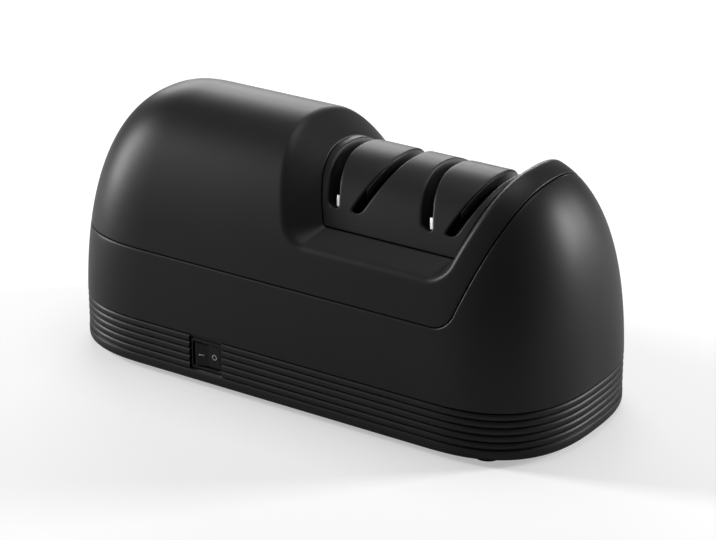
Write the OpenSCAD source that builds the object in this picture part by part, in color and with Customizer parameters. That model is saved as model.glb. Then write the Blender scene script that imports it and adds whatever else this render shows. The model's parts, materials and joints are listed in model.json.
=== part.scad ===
// Electric knife sharpener: a long domed housing with a saddle on its right half.
// An arched guide with four slanted slots fills the saddle, over two pairs of
// grinding discs on a spindle that a motor in the left half turns.
// X runs along the housing, the switch is on the front (-Y), and Z is up.

/* [Housing] */
// Length of the housing
body_l = 225; // [215:1:245]
// Width of the housing
body_w = 98.4; // [94:0.1:110]
// Height of the housing above its underside
body_h = 102.8; // [100:0.1:110]
// Length of each rounded end
end_reach = 47; // [40:0.5:50]
// Power of the end's rounding seen from above
end_plan_power = 2.63; // [2.2:0.01:3]
// Power of the end's rounding seen from the front
end_side_power = 2.75; // [2.2:0.01:3]
// Power of the arched cross-section
arch_power = 2.34; // [2.1:0.01:2.6]
// Height up to which the side walls stand upright
knee_z = 10.8; // [9:0.1:14]
// Thickness of the moulded shells
wall = 2.6; // [2:0.1:3]
// Gap that shows between two mouldings
seam_gap = 0.3; // [0.2:0.05:0.4]

/* [Parting lines] */
// Depth of the seam between the upper cover and the lower housing below the crown
seam_drop = 54.3; // [50:0.1:58]
// Distance from the saddle's right edge to the seam beside it
seam_margin = 10.4; // [9:0.1:12]
// Radius of the seam's corner
seam_corner_r = 9; // [5:0.5:12]

/* [Base tray] */
// Height of the ribbed base tray
tray_h = 19.2; // [18:0.1:21]
// Number of ribs round the tray
rib_count = 5; // [4:1:5]
// Height of one rib
rib_pitch = 2.94; // [2.6:0.02:3]
// Depth of the grooves between ribs
rib_depth = 1.1; // [0.6:0.1:1.4]
// Thickness of the tray's floor
floor_t = 3; // [2.6:0.1:3.6]
// Rounding of the tray's lower edge
lip_r = 1.4; // [0.8:0.1:2]

/* [Saddle] */
// Distance of the saddle's middle from the right end
saddle_from_end = 78.1; // [76.5:0.1:80.5]
// Half of the saddle's length at its front edge
saddle_half = 34.4; // [33:0.1:36]
// How far the saddle's ends lean outwards for each millimetre of height
saddle_lean = 0.36; // [0.3:0.01:0.42]
// Depth of the saddle's front and rear edges below the crown
saddle_drop = 37.8; // [36:0.1:39.5]
// Rounding of the saddle's corners
saddle_corner_r = 7; // [4:0.5:9]

/* [Guide cover] */
// Depth of the guide's crown below the housing's skin
guide_depth = 9.2; // [8:0.1:10.5]
// Depth of the guide's front and rear feet below the crown
guide_foot_drop = 32.8; // [31.8:0.1:33.8]
// Left end of the guide's foot, from the saddle's middle
guide_left_reach = 25.1; // [24.3:0.1:25.8]
// Right end of the guide's foot, from the saddle's middle
guide_right_reach = 33.5; // [32.6:0.1:34.4]
// Lean of the guide's left end
guide_left_lean = 0.47; // [0.44:0.01:0.5]
// Lean of the guide's right end
guide_right_lean = 0.31; // [0.28:0.01:0.36]
// Thickness of the guide cover
guide_t = 2.4; // [1.8:0.1:2.8]

/* [Slots and discs] */
// Middle of the coarse stage, to the left of the saddle's middle
coarse_reach = 18; // [17.4:0.1:18.6]
// Middle of the fine stage, to the right of the saddle's middle
fine_reach = 23.6; // [23.1:0.1:24.1]
// Grinding angle, which is the lean of each slot
grind_angle = 23.3; // [21:0.1:25]
// Width of a slot along X
slot_w = 4.8; // [3.6:0.1:5.4]
// Depth at which each slot ends, front and rear, below the crown
slot_end_drop = 25.8; // [24:0.1:27.5]
// Depth at which a blade's edge meets the disc, below the crown
bite_drop = 27.3; // [26:0.1:28.5]
// Distance between a stage's two grinding faces
stage_w = 8.6; // [8.2:0.1:9.2]
// Radius of the grinding discs
disc_r = 25; // [22:0.5:25]
// Thickness of a grinding disc
disc_t = 2.6; // [2.2:0.1:2.8]
// Clearance of a disc's spring from the discs beside it
spring_gap = 0.1; // [0.05:0.05:0.2]

/* [Drive] */
// Depth of the spindle's axis below the crown
shaft_drop = 46.8; // [46:0.1:48]
// Radius of the spindle
spindle_r = 2.5; // [2:0.1:3]
// Radius of the motor's shaft
motor_shaft_r = 2; // [1.5:0.1:2.2]
// Outer radius of the motor's can
motor_r = 21; // [19:0.5:23]
// Distance of the motor's rear end from the left end of the housing
motor_from_end = 20.5; // [19:0.5:22]
// Wall of the motor's can
can_t = 1.5; // [1.2:0.1:2]
// Radial clearance of a running shaft
run_gap = 0.05; // [0.02:0.01:0.08]
// Clearance between a turning part and what stands round it
turn_gap = 0.8; // [0.5:0.1:1]

/* [Switch] */
// Distance of the switch's middle from the left end
switch_from_end = 78.1; // [70:0.1:86]
// Middle of the switch above the housing's underside
switch_z = 11.4; // [10.8:0.1:11.8]
// Width of the switch's bezel
bezel_w = 15.3; // [14.5:0.1:17]
// Height of the switch's bezel
bezel_h = 13.2; // [12.6:0.1:13.6]
// Angle that the rocker turns between off and on
rock_angle = 14; // [10:1:16]

/* [Feet and fasteners] */
// Height of the rubber feet
foot_h = 2.2; // [1.5:0.1:3]
// Radius of the rubber feet
foot_r = 5.5; // [4.5:0.1:6]
// Distance of the feet from the ends of the housing
foot_from_end = 25.5; // [24:0.5:32]
// Distance of the feet from the sides of the housing
foot_from_side = 12.2; // [11.5:0.1:15]
// Radius of a screw's thread
screw_r = 1.5; // [1.2:0.1:1.7]
// Radius of a screw's head
screw_head_r = 3; // [2.6:0.1:3.2]
// Radius of the cord gland's bore
gland_bore_r = 3.6; // [3:0.1:4]

/* [Hidden] */
$fn = 48;

// Steps round each rounded end, round the arch and along the saddle
end_steps = 9;
arch_steps = 36;
saddle_steps = 22;
// Where the rounded ends stop, just short of a point
end_last = 86;
// Steps of the base's outline and of the strips in the slots
plan_steps = 11;
strip_steps = 20;
// Steps of one turn of a coil, its sides, and steps along a lead
coil_steps = 12;
coil_sides = 6;
lead_steps = 14;

// Heights that follow the crown
seam_z = body_h - seam_drop;
saddle_z = body_h - saddle_drop;
guide_foot_z = body_h - guide_foot_drop;
slot_end_z = body_h - slot_end_drop;
bite_z = body_h - bite_drop;
shaft_z = body_h - shaft_drop;
// Places along X that follow the saddle, which follows the right end
saddle_x = body_l / 2 - saddle_from_end;
guide_left = saddle_x - guide_left_reach;
guide_right = saddle_x + guide_right_reach;
coarse_x = saddle_x - coarse_reach;
fine_x = saddle_x + fine_reach;
stages = [coarse_x, fine_x];
bearing_l = 8;
left_bearing_x = saddle_x - 43.4;
right_bearing_x = saddle_x + 42.6;
spindle_x0 = left_bearing_x - bearing_l;
coupling_l = 15;
coupling_x0 = spindle_x0 - bearing_l;
fan_l = 7;
fan_x0 = coupling_x0 - fan_l - 2.5;
// The motor reaches from the left end to the fan
motor_x0 = motor_from_end - body_l / 2;
motor_x1 = fan_x0 - 1.5;
motor_l = motor_x1 - motor_x0;
// Posts under the covers
cover_post = [for (x = [42.5 - body_l / 2, saddle_x - 0.4], y = [1, -1]) [x, y * (body_w / 2 - 12.2)]];
base_post = [for (x = [-1, 1], y = [1, -1]) [x * (body_l / 2 - 17.5), y * 17]];
guide_post = [for (x = [-6.4, 11.6], y = [1, -1]) [saddle_x + x, y * 28]];
frame_post = [for (x = [-32.4, 33.6], y = [1, -1]) [saddle_x + x, y * 17]];
frame_w = 42;
frame_pad = [30, 66];
frame_l = right_bearing_x + bearing_l - left_bearing_x;
frame_boss_r = 13;
cradle_x = motor_x0 + motor_l / 2;
cradle_l = 20;
cradle_w = 2 * motor_r + 19;
cradle_post = [for (x = [-16, 16], y = [1, -1]) [cradle_x + x, y * (cradle_w / 2 - 4.5)]];
strap_post = [for (x = [-5, 5], y = [1, -1]) [cradle_x + x, y * (cradle_w / 2 - 3.3)]];
cover_post_h = 40;
guide_post_h = 30;
guide_pad_z = guide_post_h - 6;
base_boss_z = 34;
base_post_web = [18, 28];
post_r = 5;
boss_r = 4.2;
flange_t = 4;
strap_t = 2.4;
strap_ear_t = 3;
strap_gap = 0.3;
can_gap = 0.1;
strap_pilot = 12;
// Screws and the clearances round them
screw_bite = 8;
strap_screw_l = 11;
mount_end = 1.4;
head_h = 2;
head_sink = 1.2;
cross_slot = [3.2, 0.8, 2];
hole_gap = 0.25;
seat_gap = 0.2;
// Lateral lean of the slots, and the moulded walls beside them
slot_lean = tan(grind_angle);
slot_side = slot_w / 2 + 1.4;
slot_wall_h = 8.5;
slot_overlap = 0.35;
guide_gap = 0.5;
// Strips in the slots
strip_t = 0.4;
strip_in = 0.8;
strip_w = 5.2;
// How far a strip stops above the round end of its slot
strip_end = 2.6;
// How far a strip stands off the slot's side
strip_gap = 0.05;
// Tongues inside the seam
tab_x = [motor_x0 + 8, motor_x1 - 4, saddle_x - 26.4, saddle_x + 21.6];
tab_l = 8;
tab_reach = 6;
// Ribs and floor of the base
tray_in = wall + rib_depth;
rib_land = 0.2;
rib_z0 = tray_h - rib_land - rib_count * rib_pitch;
foot_x = body_l / 2 - foot_from_end;
foot_y = body_w / 2 - foot_from_side;
foot_stem_r = 2.2;
foot_stem_h = 2;
// Switch
switch_x = switch_from_end - body_l / 2;
switch_d = 16;
bezel_in = 1;
bezel_t = 1.6;
cavity_w = 13.2;
cavity_d = 9;
rocker_w = 11.4;
rocker_h = 9.6;
rocker_sink = 0.6;
cavity_h = rocker_h + 0.6;
pivot_in = 5.8;
pivot_r = 1.2;
pivot_l = 0.7;
terminal = [0.8, 7, 4.8];
terminal_x = [-3.6, 0, 3.6];
// Cord gland
gland_x = 57.5 - body_l / 2;
gland_z = 11;
gland_flange_r = 7.4;
gland_flange_t = 1.2;
gland_body_r = 5.6;
gland_in = 0.6;
gland_l = 9;
gland_nut_t = 3;
// Spindle, its discs and clips
bush_r = 5;
press_gap = 0.01;
disc_gap = stage_w - 2 * disc_t;
clip_reach = 2;
clip_play = 0.02;
clip_t = 0.6;
clip_gap = 0.1;
clip_bore_r = spindle_r - 0.4;
flat_z = 1.9;
spring_wire = 0.35;
spring_turns = 3;
// Motor
cap_l = 3;
motor_bush_r = 4.5;
motor_bush_l = 5;
shaft_inset = 0.5;
com_x0 = motor_x0 + 1.2;
com_r = 6;
com_l = 8;
core_r = 13.5;
core_x0 = motor_x0 + 15;
core_l = motor_l - 29;
winding = [8, 2.6, 2.5, 1.7];
magnet_in = core_r + turn_gap;
magnet_over = 2;
magnet_split = 8;
brush_w = 4;
brush_l = 5;
brush_gap = 0.05;
com_gap = 0.15;
brush_coil = [1.3, 0.25, 4];
sleeve_wall = 1.2;
sleeve_r = motor_r - can_t - 0.5;
fan_hub_r = 5;
fan_blades = 7;
blade = [0.6, 3.6, 1.2, 13.9];
coupling_r = 7;
// Circuit board and what stands on it
board = [58, 15, 1.6];
board_x = saddle_x - 42.4;
board_y = body_w / 2 - 12.7;
board_z = 9;
board_top = board_z + board[2];
board_post = [for (x = [-1, 1], y = [-1, 1])
    [board_x + x * (board[0] / 2 - 4), board_y + y * (board[1] / 2 - 3)]];
board_post_r = 2.6;
board_screw_r = 1;
board_screw_l = 5;
board_head_r = 2;
board_head_h = 1.4;
rectifier = [4, 8, 9];
rectifier_reach = 12;
capacitor_reach = 2;
capacitor_r = 5;
capacitor_h = 14;
choke_reach = -11;
choke_ring_r = 3.6;
choke_wire_r = 1.9;
fuse_reach = [-19, 4];
fuse_r = 2.5;
fuse_l = 8;
lead_r = 0.9;
// Where the leads meet the board
switch_pads = [board_x - 20, board_x - 14];
motor_pads = [board_x - 14.7, board_x - 6];
pad_gap = 0.2;
cap_gap = 0.7;
lead_clear = 0.15;

// ---- points and lofts ----

function clamp01(v) = min(max(v, 0), 1);
// How much a rounded end has shrunk at x, for an inset g and a power
function end_shrink(x, g, power) =
    let(t = min(clamp01((abs(x) - body_l / 2 + end_reach) / (end_reach - g)),
                pow(sin(end_last), 2 / power)))
    pow(1 - pow(t, power), 1 / power);
// Point of the domed skin at x and arch angle a, inset by g
function skin(x, a, g) = [x,
    (body_w / 2 - g) * end_shrink(x, g, end_plan_power) * sign(cos(a)) * pow(abs(cos(a)), 2 / arch_power),
    knee_z + (body_h - g - knee_z) * end_shrink(x, g, end_side_power)
        * pow(abs(sin(a)), 2 / arch_power)];
// Arch angle at which the skin inset by g reaches height z, in the straight middle
function angle_at(z, g) = asin(pow((z - knee_z) / (body_h - g - knee_z), arch_power / 2));
// Places of the cross-sections from end to end
function stations(g) = let(reach = end_reach - g, x0 = body_l / 2 - end_reach,
        half = [for (i = [0:end_steps]) x0 + reach
            * pow(sin(end_last * i / end_steps) / sin(end_last), 2 / end_side_power)])
    concat([for (i = [end_steps:-1:0]) -half[i]], half);
// Faces of a loft through n rings of m points; caps lists the faces that close its two ends
function loft_faces(n, m, caps) = concat(caps,
    [for (c = caps) [for (j = [len(c) - 1:-1:0]) (n - 1) * m + c[j]]],
    [for (i = [0:n - 2], j = [0:m - 1], k = [0, 1]) let(a = i * m + j, b = i * m + (j + 1) % m)
        k == 0 ? [a, a + m, b] : [b, a + m, b + m]]);

module loft(rings, caps) {
    polyhedron(points = [for (r = rings) each r], faces = loft_faces(len(rings), len(rings[0]), caps),
        convexity = 8);
}
// The whole domed body, inset by g, from height g up
module dome(g) {
    loft([for (x = stations(g)) concat([[x, skin(x, 0, g)[1], g]],
        [for (i = [0:arch_steps]) skin(x, 180 * i / arch_steps, g)], [[x, skin(x, 180, g)[1], g]])],
        [[for (j = [0:arch_steps + 2]) j]]);
}
// Points of an arc of radius r that rounds the corner b between a and c
function rounded(a, b, c, r, n) =
    let(u = (a - b) / norm(a - b), v = (c - b) / norm(c - b), h = acos(u * v) / 2,
        m = b + (u + v) / norm(u + v) * r / sin(h),
        p = b + u * r / tan(h) - m, q = b + v * r / tan(h) - m, w = 180 - 2 * h)
    [for (i = [0:n]) m + (p * sin(w * (1 - i / n)) + q * sin(w * i / n)) / sin(w)];
// A plate seen from the front, from y0 to y1
module front_plate(points, y0, y1) {
    translate([0, y1, 0]) rotate([90, 0, 0]) linear_extrude(y1 - y0) polygon(points);
}
// Lifts a piece by the height of the feet
module raised() { translate([0, 0, foot_h]) children(); }
// A rod, and a tube, round the spindle's axis
module along_x(x0, len, r) { translate([x0, 0, shaft_z]) rotate([0, 90, 0]) cylinder(h = len, r = r); }
module tube_x(x0, len, r, bore) {
    difference() { along_x(x0, len, r); along_x(x0 - 1, len + 2, bore); }
}

// ---- saddle, seam and slots ----

// Ends of the saddle at height z: side is -1 on the left and 1 on the right
function saddle_end(side, z, grow) = saddle_x
    + side * (saddle_half + saddle_lean * (z - saddle_z) + 1.3 * grow);
function guide_end(side, z, grow) = (side < 0 ? guide_left - guide_left_lean * (z - guide_foot_z)
    : guide_right + guide_right_lean * (z - guide_foot_z)) + side * 1.3 * grow;
// How far a rounded corner draws the saddle's end in, at distance s from its front edge
function corner_in(s) = s >= saddle_corner_r ? 0
    : saddle_corner_r - sqrt(pow(saddle_corner_r, 2) - pow(saddle_corner_r - s, 2));
function outer_point(side, a, s, grow) =
    let(x = saddle_end(side, skin(saddle_x, a, 0)[2], grow) - side * corner_in(s)) skin(x, a, 0);
function inner_point(side, a, g, grow) =
    let(x = guide_end(side, skin(saddle_x, a, g)[2], grow)) skin(x, a, g);
// Share of the way over the arch at each ring, close together near the rounded corners
function arch_share(i) = let(t = i / saddle_steps) t - 0.85 * sin(360 * t) / (2 * PI);
// The cut that makes the saddle: it narrows from the skin down to the guide
module saddle_cut(grow, depth) {
    a0 = angle_at(saddle_z - 1.2 * grow, 0);
    b0 = angle_at(guide_foot_z - 1.2 * grow, guide_depth);
    arc = 2.1 * norm([skin(saddle_x, a0, 0)[1], body_h - saddle_z]);
    out = 0.35;
    loft([for (i = [0:saddle_steps]) let(t = arch_share(i),
            a = a0 + (180 - 2 * a0) * t, b = b0 + (180 - 2 * b0) * t, s = arc * min(t, 1 - t),
            ol = outer_point(-1, a, s, grow), or = outer_point(1, a, s, grow),
            il = inner_point(-1, b, guide_depth, grow), ir = inner_point(1, b, guide_depth, grow),
            dl = inner_point(-1, b, depth, grow), dr = inner_point(1, b, depth, grow))
        [ol + (ol - il) * out, il, dl, dr, ir, or + (or - ir) * out]], [[0, 1, 4, 5], [1, 2, 3, 4]]);
}
// Outline of the upper cover's side of the seam, moved by grow
function seam_line(grow) =
    let(x0 = saddle_end(1, seam_z, 0) + seam_margin + grow, z0 = seam_z - grow, z1 = body_h + 20,
        far = body_l / 2 + 10, top = [x0 + saddle_lean * (z1 - seam_z), z1])
    concat([[-far, z1], [-far, z0]], rounded([-far, z0], [x0, z0], top, seam_corner_r, 6), [top]);
// Everything on the upper cover's side of the seam
module seam_side(grow) { front_plate(seam_line(grow), -body_w, body_w); }

// Middle of a slot at height z: side is -1 for the stage's left slot
function slot_x(stage, side, z) = stages[stage] + side * (stage_w / 2 + slot_lean * (z - bite_z));
// A plate that lies along a slot, between offsets w0 and w1 from the slot's middle
module slot_plate(stage, side, w0, w1, z0) {
    z1 = body_h;
    front_plate([[slot_x(stage, side, z0) + side * w0, z0], [slot_x(stage, side, z1) + side * w0, z1],
        [slot_x(stage, side, z1) + side * w1, z1], [slot_x(stage, side, z0) + side * w1, z0]],
        -body_w / 2, body_w / 2);
}

// ---- fasteners and bosses ----

// A screw that points up from the underside of its head at z
module screw(x, y, z, len, head_r = screw_head_r) {
    translate([x, y, z]) difference() {
        union() {
            cylinder(h = len, r = screw_r);
            translate([0, 0, -head_h]) cylinder(h = head_h, r = head_r);
        }
        for (turn = [0, 90]) translate([0, 0, -head_h]) rotate(turn) cube(cross_slot, center = true);
    }
}
// A hollow post with a recess for the screw's head
module post_holes(x, y, z0, z1) {
    translate([x, y, z0 - 1]) cylinder(h = z1 - z0 + 2, r = screw_r + hole_gap, $fn = 20);
    translate([x, y, z0 - 1]) cylinder(h = head_h + head_sink, r = screw_head_r + hole_gap, $fn = 24);
}
// The blind hole that a screw from below bites into above height z
module screw_hole(p, z) {
    translate([p[0], p[1], z - 1]) cylinder(h = screw_bite + 3, r = screw_r + hole_gap, $fn = 20);
}
// A boss joined to the wall beside it by a web
module webbed_boss(x, y, z0, z1, wx, wy) {
    hull() {
        translate([x, y, z0]) cylinder(h = z1 - z0, r = boss_r, $fn = 20);
        translate([x + wx, y + wy, z0]) cylinder(h = z1 - z0, r = 1, $fn = 8);
    }
}

// ---- housing ----

// Outline of the upright walls seen from above at height z, inset by g
function plan(g, z) = let(x0 = body_l / 2 - end_reach)
    [for (side = [1, -1], i = [0:2 * plan_steps]) let(a = 90 * (i / plan_steps - 1), s = side * sin(a))
        [side * (x0 + (end_reach - g) * pow(cos(a), 2 / end_plan_power)),
         sign(s) * (body_w / 2 - g) * pow(abs(s), 2 / end_plan_power), z]];
// One point of a rib's rounded profile: [inset, height], for a share s from -0.5 to 0.5
function rib_point(k, s) = [rib_depth * (1 - sqrt(1 - pow(2 * s, 2))), rib_z0 + rib_pitch * (k + 0.5 + s)];

// The ribbed wall of the base and its floor
module tray_shell() {
    levels = concat([[lip_r, 0], [lip_r * 0.3, lip_r * 0.3], [0, lip_r], [0, rib_z0 - 0.3]],
        [for (k = [0:rib_count - 1], s = [-0.5, -0.42, -0.25, 0, 0.25, 0.42]) rib_point(k, s)],
        [rib_point(rib_count - 1, 0.5), [rib_depth, tray_h], [tray_in, tray_h], [tray_in, floor_t]]);
    loft([for (p = levels) plan(p[0], p[1])], [[for (j = [0:4 * plan_steps + 1]) j]]);
}
module switch_place() { translate([switch_x, -body_w / 2, switch_z]) children(); }
// The recess and the opening that the switch sits in
module switch_hole(gap) {
    switch_place() {
        translate([-bezel_w / 2 - gap, -1, -bezel_h / 2 - gap])
            cube([bezel_w + 2 * gap, bezel_in + bezel_t + 1, bezel_h + 2 * gap]);
        translate([-bezel_w / 2 + 1 - gap, -1, -bezel_h / 2 + 1 - gap])
            cube([bezel_w - 2 + 2 * gap, tray_in + 2, bezel_h - 2 + 2 * gap]);
    }
}
module gland_place() { translate([gland_x, body_w / 2, gland_z]) rotate([90, 0, 0]) children(); }

// The base: posts for the covers and pads for what stands inside
module base_tray() {
    color([0.08, 0.08, 0.08]) raised() difference() {
        union() {
            tray_shell();
            for (p = cover_post) {
                webbed_boss(p[0], p[1], floor_t - 1, tray_h - 1, 0, sign(p[1]) * 8.6);
                translate([p[0], p[1], floor_t]) cylinder(h = cover_post_h - floor_t, r = boss_r, $fn = 20);
            }
            for (p = base_post) webbed_boss(p[0], p[1], floor_t - 1, tray_h, sign(p[0]) * 13, 0);
            for (p = board_post) translate([p[0], p[1], floor_t - 1])
                cylinder(h = board_z - floor_t + 1, r = board_post_r, $fn = 16);
        }
        for (p = cover_post) post_holes(p[0], p[1], 0, cover_post_h);
        for (p = base_post) post_holes(p[0], p[1], 0, tray_h);
        for (p = concat(frame_post, cradle_post)) translate([p[0], p[1], 1])
            cylinder(h = 4, r = screw_r + hole_gap, $fn = 20);
        for (p = board_post) translate([p[0], p[1], floor_t])
            cylinder(h = board_z, r = board_screw_r + hole_gap, $fn = 12);
        for (x = [-1, 1], y = [-1, 1]) translate([x * foot_x, y * foot_y, -1])
            cylinder(h = 1 + foot_stem_h + seat_gap, r = foot_stem_r + hole_gap, $fn = 20);
        switch_hole(seat_gap);
        gland_place() {
            translate([0, 0, -1]) cylinder(h = tray_in + 2, r = gland_body_r + seat_gap);
            translate([0, 0, -1]) cylinder(h = 1 + gland_in + gland_flange_t, r = gland_flange_r + seat_gap);
        }
    }
}

// Everything below height z
module below(z) { translate([-body_l, -body_w, z - body_h]) cube([2 * body_l, 2 * body_w, body_h]); }
// The moulded skin with its saddle, open at the bottom above the tray
module housing_shell() {
    difference() {
        dome(0);
        saddle_cut(0, guide_depth + 2);
        difference() {
            dome(wall);
            saddle_cut(wall, guide_depth + 0.8);
        }
        below(tray_h + seam_gap);
    }
}
// The space inside the middle of the shell's wall, where bosses end
module shell_core() {
    difference() {
        dome(wall / 2);
        saddle_cut(wall / 2, guide_depth + 30);
    }
}
// The ring of housing between the base and the seam
module lower_housing() {
    color([0.09, 0.09, 0.09]) raised() difference() {
        union() {
            difference() {
                housing_shell();
                seam_side(seam_gap / 2);
            }
            intersection() {
                for (p = base_post) {
                    webbed_boss(p[0], p[1], tray_h + seam_gap, base_boss_z, sign(p[0]) * base_post_web[0], 0);
                    webbed_boss(p[0], p[1], tray_h + seam_gap, base_boss_z, 0, sign(p[1]) * base_post_web[1]);
                }
                dome(wall / 2);
            }
        }
        for (p = base_post) screw_hole(p, tray_h);
    }
}
// A tab inside the seam that keeps the two shells in line
module seam_tab(x, side) {
    for (part = [0, 1]) intersection() {
        z = seam_z - tab_reach + part * (tab_reach + seam_gap);
        hull() for (end = [-1, 1]) translate([x + end * tab_l / 2, 0, z]) scale([1, side, 1])
            cube([1, body_w / 2, part == 0 ? 2 * tab_reach - 1 : tab_reach - 1 - seam_gap]);
        difference() {
            dome(part == 0 ? wall + 0.3 : wall - 0.8);
            dome(wall + 2);
        }
    }
}
// The dome above the seam, with its part of the saddle
module upper_cover() {
    color([0.1, 0.1, 0.1]) raised() difference() {
        union() {
            intersection() {
                housing_shell();
                seam_side(-seam_gap / 2);
            }
            intersection() {
                for (p = cover_post)
                    webbed_boss(p[0], p[1], cover_post_h + seam_gap, body_h, 0, sign(p[1]) * 6);
                shell_core();
            }
            for (x = tab_x, side = [-1, 1]) seam_tab(x, side);
        }
        for (p = cover_post) screw_hole(p, cover_post_h);
    }
}
// One slot, with its round lower ends
module slot_cut(stage, side) {
    r = slot_w / 2 * cos(grind_angle);
    z = slot_end_z + r;
    slot_plate(stage, side, -slot_w / 2, slot_w / 2, z - slot_overlap);
    translate([slot_x(stage, side, z), body_w / 2, z]) rotate([90, 0, 0])
        cylinder(h = body_w, r = r, $fn = 24);
}
// The arched guide in the saddle, with four slots and the walls beside them
module guide_cover() {
    z0 = guide_foot_z + guide_gap;
    z1 = body_h;
    ends = [for (p = [[-1, z0], [-1, z1], [1, z1], [1, z0]])
        [guide_end(p[0], p[1], 0) - p[0] * guide_gap, p[1]]];
    color([0.13, 0.13, 0.13]) raised() difference() {
        union() {
            intersection() {
                front_plate(ends, -body_w / 2, body_w / 2);
                union() {
                    difference() {
                        dome(guide_depth);
                        dome(guide_depth + guide_t);
                    }
                    intersection() {
                        for (stage = [0, 1], side = [-1, 1])
                            slot_plate(stage, side, -slot_side, slot_side, slot_end_z - 3);
                        difference() {
                            dome(guide_depth + 1);
                            dome(guide_depth + slot_wall_h);
                        }
                    }
                }
            }
            intersection() {
                for (p = guide_post) {
                    webbed_boss(p[0], p[1], guide_post_h, body_h, sign(saddle_x + 2.6 - p[0]) * 3, 0);
                    webbed_boss(p[0], p[1], guide_post_h, body_h, 0, -sign(p[1]) * 5);
                }
                dome(guide_depth + 1);
            }
        }
        for (stage = [0, 1], side = [-1, 1]) slot_cut(stage, side);
        for (p = guide_post) screw_hole(p, guide_post_h);
    }
}
// A point of a slot's strip, w from the slot's middle, at arch angle a and inset g
function strip_point(stage, side, w, a, g) =
    skin(slot_x(stage, side, skin(stages[stage], a, g)[2]) + side * w, a, g);
// A spring-steel strip along the inner wall of each slot, bent over the arch
module blade_springs() {
    g0 = guide_depth + strip_in;
    g1 = g0 + strip_w;
    a0 = angle_at(slot_end_z + strip_end, g1);
    w0 = strip_gap - slot_w / 2;
    w1 = w0 + strip_t;
    color([0.75, 0.76, 0.78]) raised() for (stage = [0, 1], side = [-1, 1])
        loft([for (i = [0:strip_steps]) let(a = a0 + (180 - 2 * a0) * i / strip_steps,
                wl = side > 0 ? w0 : w1, wr = side > 0 ? w1 : w0)
            [strip_point(stage, side, wl, a, g0), strip_point(stage, side, wl, a, g1),
             strip_point(stage, side, wr, a, g1), strip_point(stage, side, wr, a, g0)]], [[0, 1, 2, 3]]);
}
// Four feet whose stems sit in the floor
module rubber_feet() {
    color([0.05, 0.05, 0.05]) for (x = [-1, 1], y = [-1, 1]) translate([x * foot_x, y * foot_y, 0]) {
        cylinder(h = foot_h, r = foot_r);
        cylinder(h = foot_h + foot_stem_h, r = foot_stem_r);
    }
}

// ---- switch and inlet ----

// The switch's bezel, with the cavity that the rocker sits in
module switch_body() {
    color([0.06, 0.06, 0.06]) raised() switch_place() difference() {
        union() {
            translate([-bezel_w / 2, bezel_in, -bezel_h / 2]) cube([bezel_w, bezel_t, bezel_h]);
            translate([-bezel_w / 2 + 1, bezel_in, -bezel_h / 2 + 1])
                cube([bezel_w - 2, switch_d, bezel_h - 2]);
        }
        translate([-cavity_w / 2, 0, -cavity_h / 2]) cube([cavity_w - 0.02, bezel_in + cavity_d, cavity_h]);
        translate([0, pivot_in, -cavity_h / 2 - pivot_l])
            cylinder(h = cavity_h + 2 * pivot_l, r = pivot_r + run_gap);
    }
}
module switch_terminals() {
    color([0.8, 0.75, 0.55]) raised() switch_place() for (x = terminal_x)
        translate([x - terminal[0] / 2, bezel_in + switch_d, -terminal[2] / 2]) cube(terminal);
}
// The rocker, turned to its off position
module rocker() {
    face = pivot_in - bezel_in - rocker_sink;
    rise = rocker_w / 2 * tan(rock_angle / 2);
    color([0.07, 0.07, 0.07]) raised() switch_place() translate([0, pivot_in, 0]) rotate(rock_angle / 2) {
        translate([0, 0, -rocker_h / 2]) linear_extrude(rocker_h) polygon([[0, -face],
            [rocker_w / 2, -face - rise], [rocker_w / 2 - 0.6, 1.4], [0, 2.6],
            [-rocker_w / 2 + 0.6, 1.4], [-rocker_w / 2, -face - rise]]);
        translate([0, 0, -cavity_h / 2 - pivot_l + 0.1])
            cylinder(h = cavity_h + 2 * pivot_l - 0.2, r = pivot_r);
    }
}
// The ring in the rear wall that a mains cord passes through
module cord_gland() {
    color([0.05, 0.05, 0.05]) raised() gland_place() difference() {
        union() {
            translate([0, 0, gland_in]) cylinder(h = gland_flange_t, r = gland_flange_r);
            translate([0, 0, gland_in]) cylinder(h = gland_l, r = gland_body_r);
        }
        cylinder(h = gland_l + 2, r = gland_bore_r);
    }
}
// The nut that holds the gland from inside
module gland_nut() {
    color([0.15, 0.15, 0.15]) raised() gland_place() translate([0, 0, tray_in + seat_gap]) difference() {
        cylinder(h = gland_nut_t, r = gland_flange_r);
        translate([0, 0, -1]) cylinder(h = gland_nut_t + 2, r = gland_body_r);
    }
}

// ---- screws ----

// A screw that holds a cover to the top of its post
module post_screw(p, top) { screw(p[0], p[1], head_h + seat_gap, top - head_h + screw_bite); }
module base_screws() {
    color("silver") raised() for (p = base_post) post_screw(p, tray_h);
}
module cover_screws() {
    color("silver") raised() for (p = cover_post) post_screw(p, cover_post_h);
}
module guide_screws() {
    color("silver") raised() for (p = guide_post)
        screw(p[0], p[1], guide_pad_z, guide_post_h - guide_pad_z + screw_bite);
}
// A screw that points down from its head at z
module down_screw(p, z, len) { translate([p[0], p[1], z]) rotate([180, 0, 0]) screw(0, 0, 0, len); }
module mount_screws() {
    color("silver") raised() for (p = concat(frame_post, cradle_post))
        down_screw(p, floor_t + flange_t, floor_t + flange_t - mount_end);
}
module strap_screws() {
    color("silver") raised() for (p = strap_post)
        down_screw(p, shaft_z + strap_ear_t + strap_gap, strap_screw_l);
}
module board_screws() {
    color("silver") raised() for (p = board_post) translate([p[0], p[1], board_top]) {
        translate([0, 0, -board_screw_l]) cylinder(h = board_screw_l, r = board_screw_r);
        cylinder(h = board_head_h, r = board_head_r);
    }
}

// ---- spindle and its frame ----

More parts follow.
